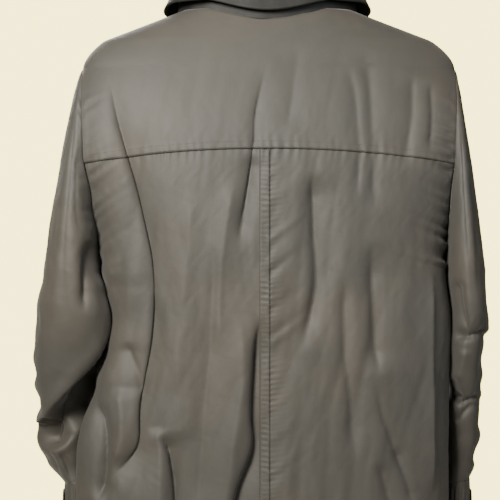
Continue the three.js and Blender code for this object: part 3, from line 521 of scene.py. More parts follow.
def stitch_line(bm, tree, path, facing, pitch=0.0034, width=0.0008, height=0.0007):
    line = rounded(path, 12)
    length = sum(float(np.hypot(*(b - a))) for a, b in zip(line, line[1:]))
    marks = np.concatenate([[0], np.cumsum([float(np.hypot(*(b - a))) for a, b in zip(line, line[1:])])])
    count = max(2, int(length / pitch))
    spots = []
    for k in range(count + 1):
        s = length * k / count
        x = float(np.interp(s, marks, [p[0] for p in line]))
        z = float(np.interp(s, marks, [p[1] for p in line]))
        spots.append(lay(tree, x, z, facing))
    for (a, normal), (b, _) in zip(spots, spots[1:]):
        if a is None or b is None or (b - a).length > 2.5 * pitch:
            continue
        stitch(bm, a, b, normal, width, height)


# ---------------------------------------------------------------- finishes

def node(tree, kind, **values):
    made = tree.nodes.new(kind)
    for key, value in values.items():
        if key in made.inputs:
            made.inputs[key].default_value = value
        else:
            setattr(made, key, value)
    return made


def woven(name, colour, second, rough, sheen, pitch, weave=0.10, crumple=0.0012, patches=7.0, wear=0.10):
    """Woven cloth: two shades in soft patches, crossing threads, tiny crumples and a worn bloom."""
    made = bpy.data.materials.new(name)
    made.use_nodes = True
    tree = made.node_tree
    link = tree.links.new
    shader = tree.nodes["Principled BSDF"]
    shader.inputs["Roughness"].default_value = rough
    shader.inputs["Sheen Weight"].default_value = sheen
    shader.inputs["Sheen Roughness"].default_value = 0.45
    shader.inputs["Specular IOR Level"].default_value = 0.42
    place = node(tree, "ShaderNodeTexCoord")
    threads = node(tree, "ShaderNodeUVMap", uv_map="cloth")
    patch = node(tree, "ShaderNodeTexNoise", Scale=patches, Detail=3.0, Roughness=0.5)
    link(place.outputs["Object"], patch.inputs["Vector"])
    spread_patch = node(tree, "ShaderNodeMapRange")
    spread_patch.inputs["From Min"].default_value = 0.36
    spread_patch.inputs["From Max"].default_value = 0.64
    link(patch.outputs["Fac"], spread_patch.inputs["Value"])
    shades = node(tree, "ShaderNodeMix", data_type="RGBA")
    shades.inputs[6].default_value = (*colour, 1)
    shades.inputs[7].default_value = (*second, 1)
    link(spread_patch.outputs["Result"], shades.inputs[0])
    warp = node(tree, "ShaderNodeTexWave", Scale=0.314 / pitch, Distortion=0.0)
    weft = node(tree, "ShaderNodeTexWave", Scale=0.314 / pitch, Distortion=0.0)
    warp.bands_direction = "X"
    weft.bands_direction = "Y"
    link(threads.outputs["UV"], warp.inputs["Vector"])
    link(threads.outputs["UV"], weft.inputs["Vector"])
    cross = node(tree, "ShaderNodeMath", operation="MULTIPLY")
    link(warp.outputs["Fac"], cross.inputs[0])
    link(weft.outputs["Fac"], cross.inputs[1])
    slub = node(tree, "ShaderNodeTexNoise", Scale=420.0, Detail=2.0)
    link(place.outputs["Object"], slub.inputs["Vector"])
    bloom = node(tree, "ShaderNodeTexNoise", Scale=38.0, Detail=4.0, Roughness=0.6)
    link(place.outputs["Object"], bloom.inputs["Vector"])
    grain = node(tree, "ShaderNodeMapRange")
    grain.inputs["To Min"].default_value = 1 - wear
    grain.inputs["To Max"].default_value = 1 + wear
    link(bloom.outputs["Fac"], grain.inputs["Value"])
    thread_shade = node(tree, "ShaderNodeMapRange")
    thread_shade.inputs["To Min"].default_value = 1 - weave
    thread_shade.inputs["To Max"].default_value = 1 + weave
    link(cross.outputs["Value"], thread_shade.inputs["Value"])
    both = node(tree, "ShaderNodeMath", operation="MULTIPLY")
    link(grain.outputs["Result"], both.inputs[0])
    link(thread_shade.outputs["Result"], both.inputs[1])
    tint = node(tree, "ShaderNodeVectorMath", operation="SCALE")
    link(shades.outputs[2], tint.inputs[0])
    link(both.outputs["Value"], tint.inputs["Scale"])
    link(tint.outputs["Vector"], shader.inputs["Base Color"])
    gloss = node(tree, "ShaderNodeMapRange")
    gloss.inputs["To Min"].default_value = rough - 0.07
    gloss.inputs["To Max"].default_value = rough + 0.07
    link(bloom.outputs["Fac"], gloss.inputs["Value"])
    link(gloss.outputs["Result"], shader.inputs["Roughness"])
    soft = node(tree, "ShaderNodeBump", Strength=0.55, Distance=crumple)
    link(bloom.outputs["Fac"], soft.inputs["Height"])
    fine = node(tree, "ShaderNodeBump", Strength=0.35, Distance=pitch * 0.22)
    link(cross.outputs["Value"], fine.inputs["Height"])
    link(soft.outputs["Normal"], fine.inputs["Normal"])
    link(fine.outputs["Normal"], shader.inputs["Normal"])
    return made


def hard(name, colour, rough, metal=0.0, speck=0.12, scale=260.0, bump=0.00006, coat=0.0):
    """Moulded plastic, thread or metal with a faint cast grain and rubbed spots."""
    made = bpy.data.materials.new(name)
    made.use_nodes = True
    tree = made.node_tree
    link = tree.links.new
    shader = tree.nodes["Principled BSDF"]
    shader.inputs["Metallic"].default_value = metal
    shader.inputs["Coat Weight"].default_value = coat
    place = node(tree, "ShaderNodeTexCoord")
    fleck = node(tree, "ShaderNodeTexNoise", Scale=scale, Detail=3.0)
    link(place.outputs["Object"], fleck.inputs["Vector"])
    shade = node(tree, "ShaderNodeMapRange")
    shade.inputs["To Min"].default_value = 1 - speck
    shade.inputs["To Max"].default_value = 1 + speck
    link(fleck.outputs["Fac"], shade.inputs["Value"])
    tint = node(tree, "ShaderNodeVectorMath", operation="SCALE")
    tint.inputs[0].default_value = colour
    link(shade.outputs["Result"], tint.inputs["Scale"])
    link(tint.outputs["Vector"], shader.inputs["Base Color"])
    rub = node(tree, "ShaderNodeTexNoise", Scale=scale * 0.2, Detail=4.0)
    link(place.outputs["Object"], rub.inputs["Vector"])
    gloss = node(tree, "ShaderNodeMapRange")
    gloss.inputs["To Min"].default_value = max(rough - 0.10, 0.05)
    gloss.inputs["To Max"].default_value = rough + 0.10
    link(rub.outputs["Fac"], gloss.inputs["Value"])
    link(gloss.outputs["Result"], shader.inputs["Roughness"])
    dents = node(tree, "ShaderNodeBump", Strength=0.4, Distance=bump)
    link(fleck.outputs["Fac"], dents.inputs["Height"])
    link(dents.outputs["Normal"], shader.inputs["Normal"])
    return made


def material(key):
    if key in bpy.data.materials:
        return bpy.data.materials[key]
    s = settings()
    if key == "shell_cloth":
        return woven(key, s.shell_warm, s.shell_cool, 0.58, 0.12, 0.0006, crumple=0.0005)
    if key == "collar_cloth":
        return woven(key, s.collar_colour, [c * 0.86 for c in s.collar_colour], 0.62, 0.10, 0.0007,
                    crumple=0.0016)
    if key == "lining_cloth":
        return woven(key, s.lining_colour, [c * 0.9 for c in s.lining_colour], 0.55, 0.05, 0.0009,
                    weave=0.2)
    if key == "zip_tape":
        return woven(key, (0.026, 0.025, 0.023), (0.034, 0.032, 0.029), 0.75, 0.2, 0.0011, weave=0.35)
    if key == "hook_tape":
        return woven(key, (0.020, 0.019, 0.018), (0.030, 0.029, 0.027), 0.85, 0.35, 0.0016, weave=0.5)
    if key == "label_cloth":
        return woven(key, (0.62, 0.60, 0.55), (0.56, 0.54, 0.49), 0.6, 0.1, 0.0006, weave=0.2)
    if key == "thread":
        return hard(key, s.thread_colour, 0.55, speck=0.25, scale=900.0)
    if key == "zip_plastic":
        return hard(key, (0.030, 0.028, 0.026), 0.38, coat=0.15)
    if key == "zip_metal":
        return hard(key, (0.21, 0.20, 0.185), 0.34, metal=1.0, speck=0.2)
    return hard(key, (0.16, 0.15, 0.14), 0.36, metal=1.0, speck=0.2)


# ---------------------------------------------------------------- sizes and colours a user may change

class JacketSettings(bpy.types.PropertyGroup):
    """Colours and sizes of the jacket's looks."""

    shell_warm: FloatVectorProperty(
        name="Shell, warm shade", description="Taupe of the shell cloth where it catches light",
        default=(0.074, 0.065, 0.053), size=3, min=0.0, max=1.0, subtype="COLOR")
    shell_cool: FloatVectorProperty(
        name="Shell, cool shade", description="Greener grey of the shell cloth in its flat patches",
        default=(0.062, 0.059, 0.051), size=3, min=0.0, max=1.0, subtype="COLOR")
    collar_colour: FloatVectorProperty(
        name="Collar", description="Darker charcoal of the collar cloth",
        default=(0.011, 0.0113, 0.009), size=3, min=0.0, max=1.0, subtype="COLOR")
    lining_colour: FloatVectorProperty(
        name="Lining", description="Brownish lining of the neck and pockets",
        default=(0.060, 0.054, 0.046), size=3, min=0.0, max=1.0, subtype="COLOR")
    thread_colour: FloatVectorProperty(
        name="Thread", description="Sewing thread, a little darker than the shell",
        default=(0.085, 0.077, 0.064), size=3, min=0.0, max=1.0, subtype="COLOR")
    shell_thickness: FloatProperty(
        name="Shell thickness", description="Thickness of the shell cloth with its backing",
        default=0.0012, min=0.0006, max=0.002, unit="LENGTH")
    key_power: FloatProperty(
        name="Key light", description="Strength of the large soft light behind the camera",
        default=92.0, min=0.0, max=400.0, unit="POWER")
    room_light: FloatProperty(
        name="Room light", description="Strength of the even light of the pale room",
        default=0.13, min=0.0, max=4.0)


# ---------------------------------------------------------------- the pieces

def yoke_place(facing):
    def place(t, v):
        t0 = np.asarray(t, float)
        top = neck_height(t0, facing)
        if facing == BACK:
            guess = np.full(t0.shape, -0.19)
            x, _, _, _ = ring(body_angle(t0, guess, facing), guess)
            low = yoke_seam_height(x)
        else:
            low = np.full(t0.shape, FRONT_YOKE_SEAM)
        z = mix(top, low, v)
        band = smooth(-(z - low), -0.013, -0.010)
        lift = 0.0015 * smooth(v, 0.30, 0.95) + 0.0004 * band
        return body_point(t0, z, facing, lift)
    return place


class JACKET_OT_back_yoke(bpy.types.Operator):
    """Lays the yoke over both shoulders, from the neck seam to the yoke seams."""

    bl_idname = "jacket.back_yoke"
    bl_label = "Back yoke"

    def execute(self, context):
        s = settings()
        bm = cloth_grid(210, 72, yoke_place(BACK), (0.56, 0.20), from_axis)
        place = yoke_place(FRONT)
        for side in SIDES.values():
            def half(t, v, side=side):
                inner = 0.5 - FRONT_EDGE / (2 * math.pi * 0.07)
                t = inner * t if side > 0 else 1 - inner * t
                return place(t, v)
            join_into(bm, cloth_grid(64, 26, half, (0.26, 0.11), from_axis))
        top = [v for v in bm.verts if v.co.z > CAP_TOP - 0.002 and abs(v.co.y - SEAM_Y) < 0.001]
        bmesh.ops.remove_doubles(bm, verts=top, dist=0.0012)
        piece = finish_mesh(bm, "back_yoke_cloth", ["shell_cloth", "lining_cloth"], thick=s.shell_thickness)
        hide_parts("back_yoke")
        return {"FINISHED"}


def panel_place(facing, t_start, t_end, low):
    def place(t, v):
        t1 = mix(t_start, t_end, np.asarray(t, float))
        if facing == BACK:
            guess = np.full(t1.shape, -0.19)
            x, _, _, _ = ring(body_angle(t1, guess, facing), guess)
            top = yoke_seam_height(x) + LAP
        else:
            top = np.full(t1.shape, FRONT_YOKE_SEAM + LAP)
        z = mix(top, low, v)
        return body_point(t1, z, facing, 0.0)
    return place


class JACKET_OT_linings(bpy.types.Operator):
    """Hangs the yoke's lining inside the shoulders."""

    bl_idname = "jacket.linings"
    bl_label = "Yoke lining"

    def execute(self, context):
        def place(t, v):
            t = mix(0.085, 0.915, np.asarray(t, float))
            top = neck_height(t, BACK)
            z = mix(top - 0.001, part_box("yoke_lining")[0][2], v)
            return body_point(t, z, BACK, -0.0034)
        bm = cloth_grid(120, 34, place, (0.44, 0.16), from_axis)
        piece = finish_mesh(bm, "yoke_lining_cloth", ["lining_cloth"], thick=0.0010)
        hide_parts("yoke_lining")
        return {"FINISHED"}


class JACKET_OT_back_panels(bpy.types.Operator):
    """Hangs the two back panels below the yoke, with the folds the hanger gives them."""

    bl_idname = "jacket.back_panels"
    bl_label = "Back panels"

    def execute(self, context):
        s = settings()
        for name, t0, t1 in (("left", 0.0, 0.5), ("right", 0.5, 1.0)):
            place = panel_place(BACK, t0, t1, HEM_TOP - 0.010)
            bm = cloth_grid(130, 230, place, (0.30, 0.57), from_axis)
            piece = finish_mesh(bm, f"back_panel_{name}_cloth", ["shell_cloth", "lining_cloth"],
                                thick=s.shell_thickness)
            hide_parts(f"back_panel_{name}")
        return {"FINISHED"}


class JACKET_OT_front_panels(bpy.types.Operator):
    """Hangs the two front panels from the front yoke seam to the hem, each with its pocket opening."""

    bl_idname = "jacket.front_panels"
    bl_label = "Front panels"

    def execute(self, context):
        s = settings()
        for name, side in SIDES.items():
            inner = 0.5 - FRONT_EDGE / (2 * math.pi * 0.0785)
            ends = (0.0, inner) if side > 0 else (1.0, 1 - inner)
            place = panel_place(FRONT, ends[0], ends[1], HEM_TOP - 0.010)
            bm = cloth_grid(88, 200, place, (0.28, 0.65), from_axis)
            cut_pocket(bm, side)
            piece = finish_mesh(bm, f"front_panel_{name}_cloth", ["shell_cloth", "lining_cloth"],
                                thick=s.shell_thickness)
            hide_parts(f"front_panel_{name}")
        return {"FINISHED"}


POCKET_HALF = (0.0058, 0.0815)
POCKET_SLANT = math.radians(10)


def pocket_axes(side):
    """Middle, across and along directions of a pocket zip, seen from the front."""
    low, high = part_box(f"pocket_zip_{'left' if side > 0 else 'right'}")
    middle = (low + high) / 2
    along = Vector((side * math.sin(POCKET_SLANT), 0, -math.cos(POCKET_SLANT)))
    across = Vector((math.cos(POCKET_SLANT), 0, side * math.sin(POCKET_SLANT)))
    return Vector((side * 0.165, middle.y, -0.560)), across, along


def cut_pocket(bm, side):
    middle, across, along = pocket_axes(side)
    for direction, half in ((across, POCKET_HALF[0]), (along, POCKET_HALF[1])):
        for way in (1, -1):
            near = [f for f in bm.faces if abs((f.calc_center_median() - middle).dot(across)) < 0.02
                    and abs((f.calc_center_median() - middle).dot(along)) < 0.10 and f.normal.y < 0]
            geom = set(near)
            for f in near:
                geom.update(f.edges)
                geom.update(f.verts)
            bmesh.ops.bisect_plane(bm, geom=list(geom), dist=1e-6, plane_co=middle + direction * half * way,
                                   plane_no=direction)
    inside = []
    for f in bm.faces:
        gap = f.calc_center_median() - middle
        if f.normal.y < 0 and abs(gap.dot(across)) < POCKET_HALF[0] and abs(gap.dot(along)) < POCKET_HALF[1]:
            inside.append(f)
    bmesh.ops.delete(bm, geom=inside, context="FACES")


# Keys are (height, value), highest first.
def sleeve_far(z, side):
    if side > 0:
        upper = mix(0.2568, 0.311, clamp((CAP_TOP - z) / 0.28) ** 0.75)
        lower = keyed(z, (ARMPIT, 0.311), (-0.40, 0.3195), (-0.466, 0.3262), (-0.50, 0.3262), (-0.525,
                    0.3205),
                      (-0.560, 0.325), (-0.580, 0.3310), (-0.616, 0.312), (-0.650, 0.2865))
    else:
        upper = mix(0.2598, 0.3000, clamp((CAP_TOP - z) / 0.28) ** 0.85)
        lower = keyed(z, (ARMPIT, 0.300), (-0.378, 0.3010), (-0.426, 0.3055), (-0.436, 0.2985), (-0.50,
                    0.2965),
                      (-0.518, 0.3010), (-0.53, 0.2965), (-0.571, 0.2995), (-0.616, 0.2930), (-0.650,
                                  0.2845))
    return np.where(z > ARMPIT, upper, lower)


def sleeve_near(z, side):
    if side > 0:
        return keyed(z, (ARMPIT, 0.231), (-0.37, 0.2245), (-0.41, 0.2185), (-0.45, 0.2215), (-0.50, 0.238),
                     (-0.55, 0.248), (-0.642, 0.2465))
    return keyed(z, (ARMPIT, 0.247), (-0.41, 0.2535), (-0.50, 0.2535), (-0.60, 0.2510), (-0.642, 0.2465))


def sleeve_point(t, z, side, raise_by=0.0, fold_share=1.0):
    """Point of a sleeve: t runs from the back armhole edge round the outside to the front one."""
    full = z <= ARMPIT
    arm = armhole(z, side > 0)
    far = np.maximum(sleeve_far(z, side), arm + 0.0004)
    n = 2.3
    turn = np.where(full, math.pi, cap_turn(z))
    alpha = turn * (1 - 2 * t)
    c, s = np.cos(alpha), np.sin(alpha)
    rho = (np.abs(c) ** n + np.abs(s) ** n) ** (-1 / n)
    end_c = np.cos(turn) * (np.abs(np.cos(turn)) ** n + np.abs(np.sin(turn)) ** n) ** (-1 / n)
    half_above = (far - arm) / (1 - end_c)
    half = np.where(full, (far - sleeve_near(z, side)) / 2, half_above)
    middle = far - half
    along = clamp((ARMPIT - z) / 0.297)
    depth = np.where(full, mix(0.082, 0.058, along), cap_depth(z))
    forward = np.where(full, -0.060 * smooth(along, 0.1, 1.0), 0.0)
    x = middle + half * c * rho
    y = depth * s * rho
    lean = np.where(side > 0, 0.011 * spread(-0.42, 0.075, z), 0.006 * spread(-0.50, 0.10, z))
    x = x - lean * smooth(y, 0.012, 0.050) * smooth(-c, -0.6, 0.3)
    gx = np.sign(c) * np.abs(c * rho) ** (n - 1) / half
    gy = np.sign(s) * np.abs(s * rho) ** (n - 1) / depth
    size = np.hypot(gx, gy) + 1e-9
    gx, gy = gx / size, gy / size
    out = raise_by + fold_share * sleeve_folds(x, y, z, gx, gy, t, side)
    return side * (x + gx * out), SEAM_Y + forward + y + gy * out, z


def sleeve_folds(x, y, z, gx, gy, t, side):
    behind = smooth(gy, -0.05, 0.45)
    before = smooth(-gy, 0.0, 0.5)
    ring_edge = smooth(np.minimum(t, 1 - t), 0.0, 0.05)
    edge = np.where(z > ARMPIT, ring_edge, 1.0)
    h = 0.0
    if side > 0:
        h = h + behind * left_sleeve_folds(x, z)
    else:
        h = h + behind * right_sleeve_folds(x, z)
    h = h + before * front_sleeve_folds(x, z, side)
    outer = smooth(gx, 0.3, 0.9)
    seed = 2.0 if side > 0 else 5.0
    level = smooth(-z, 0.10, 0.40)
    end = smooth(z, CUFF_TOP - 0.004, CUFF_TOP + 0.03)
    h = h + (0.0005 + 0.0011 * level) * drape(y + 0.3 * x, z, seed, 0.8, 3.0) * (0.4 + 0.6 * outer)
    h = h + 0.00025 * drape(y + x, z, seed + 3, 2.4, 1.6)
    fold = 0.0026 * np.sin(z * 2 * math.pi / 0.046 + y * 25 + seed) * smooth(-z, 0.42,
                0.5) * (1 - behind * 0.8)
    return (h + fold) * edge * end


CAVITY_EDGE = ((0.205, -0.385), (0.2125, -0.416), (0.232, -0.462), (0.262, -0.497), (0.290, -0.527),
            (0.312, -0.549))


def left_sleeve_folds(x, z):
    off, run, _ = beside(x, z, CAVITY_EDGE)
    under = -off
    hollow = smooth(under, 0.0, 0.007) * (1 - smooth(under, 0.030, 0.052))
    hollow = hollow * smooth(run, 0.02, 0.2)
    rim = np.exp(-((off - 0.004) / 0.012) ** 2) * smooth(run, 0.1, 0.4) * smooth(1 - run, 0.0, 0.1)
    h = -0.034 * hollow + 0.0055 * rim
    h += crease(x, z, ((0.240, -0.30), (0.244, -0.345), (0.249, -0.405)), 0.0120, 0.006, 0.009, 0.25, 0.3)
    h += crease(x, z, ((0.285, -0.16), (0.291, -0.26), (0.296, -0.36), (0.302, -0.46)), 0.0030, 0.010,
                0.012)
    h += crease(x, z, ((0.262, -0.11), (0.268, -0.20), (0.277, -0.33), (0.272, -0.43)), 0.0032, 0.012,
                0.010)
    h += crease(x, z, ((0.256, -0.18), (0.258, -0.24), (0.254, -0.30)), 0.0030, 0.008, 0.010)
    h += crease(x, z, ((0.323, -0.583), (0.300, -0.583), (0.280, -0.578), (0.262, -0.570)), 0.0120, 0.004,
                0.010, 0.1, 0.3)
    h += crease(x, z, ((0.319, -0.590), (0.300, -0.612), (0.290, -0.640)), 0.0060, 0.006, 0.004)
    h += crease(x, z, ((0.290, -0.597), (0.279, -0.620), (0.274, -0.645)), 0.0065, 0.004, 0.007)
    h += crease(x, z, ((0.262, -0.500), (0.250, -0.520), (0.246, -0.55)), -0.0060, 0.008, 0.008)
    h += gather(x, z, LEFT_ARMHOLE, 0.019, 0.010, 0.0012, 0.3, 1, 1.0)
    return h


def right_sleeve_folds(x, z):
    h = crease(x, z, ((0.2540, -0.355), (0.2580, -0.390), (0.2640, -0.416), (0.2730, -0.4225)), 0.0080,
               0.006, 0.0035)
    h += crease(x, z, ((0.2530, -0.4350), (0.2700, -0.4345), (0.2850, -0.4310), (0.2985, -0.4270)),
                0.0110, 0.010, 0.0035, 0.1, 0.02)
    h += crease(x, z, ((0.2470, -0.492), (0.2520, -0.510), (0.2600, -0.5265)), 0.0090, 0.008, 0.0035)
    h += crease(x, z, ((0.2490, -0.5190), (0.2620, -0.5265), (0.2780, -0.5235), (0.2950, -0.5190)),
                0.0100, 0.009, 0.0035, 0.1, 0.02)
    h += crease(x, z, ((0.2900, -0.5270), (0.2740, -0.5380), (0.2560, -0.5560)), 0.0065, 0.0035, 0.007)
    h += crease(x, z, ((0.2620, -0.150), (0.2640, -0.24), (0.2700, -0.34)), 0.0032, 0.007, 0.009)
    h += crease(x, z, ((0.2800, -0.200), (0.2830, -0.30), (0.2850, -0.39)), 0.0024, 0.008, 0.010)
    h += crease(x, z, ((0.2700, -0.450), (0.2640, -0.480), (0.2580, -0.500)), -0.0040, 0.010, 0.010)
    return h


def front_sleeve_folds(x, z, side):
    slip = 0.008 if side < 0 else 0.0
    h = crease(x, z, ((0.250, -0.40), (0.268, -0.425 - slip), (0.292, -0.418 - slip)), 0.0080, 0.012, 0.004)
    h += crease(x, z, ((0.300, -0.470), (0.276, -0.490 + slip), (0.252, -0.478)), 0.0080, 0.004, 0.012)
    h += crease(x, z, ((0.252, -0.545), (0.270, -0.565), (0.294, -0.558 + slip)), 0.0070, 0.010, 0.004)
    h += crease(x, z, ((0.262, -0.16), (0.268, -0.27), (0.272, -0.38)), 0.0040, 0.009, 0.012)
    return h


class JACKET_OT_sleeves(bpy.types.Operator):
    """Sets the two sleeves into the armholes and lets them hang with their elbow creases."""

    bl_idname = "jacket.sleeves"
    bl_label = "Sleeves"

    def execute(self, context):
        s = settings()
        low = CUFF_TOP - 0.010
        for name, side in SIDES.items():
            def place(t, v, side=side):
                z = mix(CAP_TOP - 0.0004, low, v)
                return sleeve_point(t, z, side)

            def outward(p, side=side):
                return Vector(((p.x - side * 0.265), (p.y - SEAM_Y) * 0.3, 0))
            bm = cloth_grid(104, 190, place, (0.40, 0.60), outward)
            bmesh.ops.remove_doubles(bm, verts=bm.verts, dist=0.00005)
            piece = finish_mesh(bm, f"sleeve_{name}_cloth", ["shell_cloth", "lining_cloth"], body=None,
                                thick=s.shell_thickness)
            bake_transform(piece)
            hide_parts(f"sleeve_head_{name}", f"sleeve_fold_{name}", f"sleeve_{name}")
        return {"FINISHED"}


def ring_place(side, top, low, raise_by):
    def place(t, v):
        z = mix(top, low, v)
        half, depth = 0.0200, 0.0578
        alpha = math.pi * (1 - 2 * t)
        c, s = np.cos(alpha), np.sin(alpha)
        rho = (np.abs(c) ** 2.3 + np.abs(s) ** 2.3) ** (-1 / 2.3)
        swell = raise_by + 0.0007 * np.sin(alpha * 23 + z * 40) * smooth(v, 0.0, 0.3)
        x = 0.2665 + (half + swell) * c * rho
        y = SEAM_Y - 0.060 + (depth + swell) * s * rho
        return side * x, y, np.broadcast_to(z, x.shape)
    return place


class JACKET_OT_cuffs(bpy.types.Operator):
    """Sews a doubled cuff on each sleeve end."""

    bl_idname = "jacket.cuffs"
    bl_label = "Cuffs"

    def execute(self, context):
        for name, side in SIDES.items():
            def outward(p, side=side):
                return Vector(((p.x - side * 0.2665), (p.y - SEAM_Y + 0.06) * 0.3, 0))
            place = ring_place(side, CUFF_TOP + 0.002, CUFF_END, 0.0012)
            bm = cloth_grid(120, 24, place, (0.27, 0.058), outward)
            bmesh.ops.remove_doubles(bm, verts=bm.verts, dist=0.00005)
            piece = finish_mesh(bm, f"cuff_{name}_cloth", ["shell_cloth"], body=f"sleeve_{name}",
                        thick=0.0024)
            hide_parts(f"cuff_{name}")
        return {"FINISHED"}


class JACKET_OT_hem(bpy.types.Operator):
    """Turns up the hem band around the bottom edge."""

    bl_idname = "jacket.hem"
    bl_label = "Hem band"

    def execute(self, context):
        inner = 0.5 - FRONT_EDGE / (2 * math.pi * 0.0785)

        def place_back(t, v):
            z = mix(HEM_TOP, HEM_END, v)
            return body_point(t, z, BACK, 0.0008)
        bm = cloth_grid(200, 9, place_back, (0.58, 0.025), from_axis)
        for side in SIDES.values():
            def place_front(t, v, side=side):
                z = mix(HEM_TOP, HEM_END, v)
                t = inner * t if side > 0 else 1 - inner * t
                return body_point(t, z, FRONT, 0.0004)
            join_into(bm, cloth_grid(88, 9, place_front, (0.28, 0.025), from_axis))
        sides = [v for v in bm.verts if abs(v.co.y - SEAM_Y) < 0.001]
        bmesh.ops.remove_doubles(bm, verts=sides, dist=0.0012)
        piece = finish_mesh(bm, "hem_band_cloth", ["shell_cloth"], thick=0.0026)
        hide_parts("hem_band")
        return {"FINISHED"}


def collar_ring(share):
    """Angle round the neck from one front edge (0) round the back to the other (1)."""
    gap = math.asin(FRONT_EDGE / NECK_HALF[0])
    return -math.pi / 2 + gap + share * (2 * math.pi - 2 * gap)


def seam_height(share):
    """Height of the neck seam, and its point, at a share of the way round."""
    angle = collar_ring(share)
    x = NECK_HALF[0] * np.cos(angle)
    y = NECK_Y + NECK_HALF[1] * np.sin(angle)
    low, high = np.full(np.shape(angle), -0.085), np.full(np.shape(angle), 0.016)
    for _ in range(30):
        mid = (low + high) / 2
        psi = np.where(y > SEAM_Y, 1.0, -1.0)
        w = body_width(mid, x > 0, psi)
        d = np.where(y > SEAM_Y, back_depth(mid), front_depth(mid))
        n = squareness(mid)
        outside = np.abs(x / w) ** n + np.abs((y - SEAM_Y) / d) ** n > 1
        low, high = np.where(outside, low, mid), np.where(outside, mid, high)
    return x, y, (low + high) / 2, angle


def collar_place(low_out, high_out, low_rise, high_rise, wave, seed):
    """A strip round the neck; outs are distances from the neck line and rises heights over the seam."""
    def place(t, v):
        x, y, z, angle = seam_height(t)
        nx = np.cos(angle) / NECK_HALF[0]
        ny = np.sin(angle) / NECK_HALF[1]
        size = np.hypot(nx, ny)
        nx, ny = nx / size, ny / size
        sideways = np.abs(np.cos(angle)) ** 3
        out = mix(high_out, low_out + low_out * 0.8 * sideways * (low_out > 0.006), v ** 1.4)
        ripple = wave * np.sin(angle * 9 + seed) * v + 0.5 * wave * np.sin(angle * 21 + 2 * seed) * v
        out = out + ripple
        rise = mix(high_rise, low_rise, v)
        lowest = 0.4 * wave * np.sin(angle * 6 + seed)
        return x + nx * out, y + ny * out, z + rise + lowest * v
    return place


def from_neck(point):
    return Vector((point.x * 0.5, point.y - NECK_Y, 0.0))


class JACKET_OT_collar(bpy.types.Operator):
    """Raises the stand, turns the leaf down over it and faces the inside."""

    bl_idname = "jacket.collar"
    bl_label = "Collar"

    def execute(self, context):
        stand = cloth_grid(150, 18, collar_place(0.0003, -0.0008, -0.003, 0.058, 0.0004, 1.0), (0.60,
                    0.062), from_neck)
        piece = finish_mesh(stand, "collar_stand_cloth", ["collar_cloth"], thick=0.0014)
        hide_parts("collar_stand")
        leaf = cloth_grid(180, 16, collar_place(0.0115, 0.0022, 0.0105, 0.0595, 0.0004, 2.0), (0.66,
                    0.05), from_neck)
        roll = cloth_grid(180, 5, collar_place(0.0022, -0.0016, 0.0595, 0.0597, 0.0, 2.0), (0.66, 0.006),
                    from_neck)
        join_into(leaf, roll)
        bmesh.ops.remove_doubles(leaf, verts=leaf.verts, dist=0.0004)
        piece = finish_mesh(leaf, "collar_leaf_cloth", ["collar_cloth"], thick=0.0022)
        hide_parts("collar_leaf")
        facing = cloth_grid(150, 18, collar_place(-0.0024, -0.0030, -0.017, 0.0565, 0.0003, 3.0), (0.59,
                    0.075), from_neck)
        piece = finish_mesh(facing, "neck_facing_cloth", ["lining_cloth"], thick=0.0012)
        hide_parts("neck_facing")
        return {"FINISHED"}


def soften(name, finish, new_name, body="jacket", edge=0.0003, ripple=0.0, cuts=2, sink=0.0):
    """A small CAD node remade as sewn work: edges rounded, faces divided and gently rippled."""
    bm = bmesh.new()
    bm.from_mesh(frame["nodes"][name].data)
    bmesh.ops.remove_doubles(bm, verts=bm.verts, dist=0.00002)
    bmesh.ops.dissolve_limit(bm, angle_limit=math.radians(2), verts=bm.verts, edges=bm.edges)
    sharp = [e for e in bm.edges if len(e.link_faces) == 2 and e.calc_face_angle(0) > math.radians(40)]
    bmesh.ops.bevel(bm, geom=sharp, offset=edge, segments=2, profile=0.5, affect="EDGES", material=-1,
                    clamp_overlap=True)
    if cuts:
        bmesh.ops.triangulate(bm, faces=[f for f in bm.faces if len(f.verts) > 4])
        long_edges = [e for e in bm.edges if e.calc_length() > 0.006]
        bmesh.ops.subdivide_edges(bm, edges=long_edges, cuts=cuts, use_grid_fill=True)
    bm.normal_update()
    if ripple:
        for vert in bm.verts:
            c = vert.co
            vert.co.y += ripple * math.sin(c.z * 230 + c.x * 90) * math.cos(c.x * 160 - c.z * 70)
    bmesh.ops.translate(bm, verts=bm.verts, vec=(0, sink, 0))
    layer = bm.loops.layers.uv.new("cloth")
    for face in bm.faces:
        for loop in face.loops:
            loop[layer].uv = (loop.vert.co.x + loop.vert.co.y * 0.7, loop.vert.co.z)
    piece = finish_mesh(bm, new_name, [finish], body=body)
    for polygon in piece.data.polygons:
        polygon.use_smooth = len(piece.data.polygons) > 60
    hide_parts(name)
    return piece


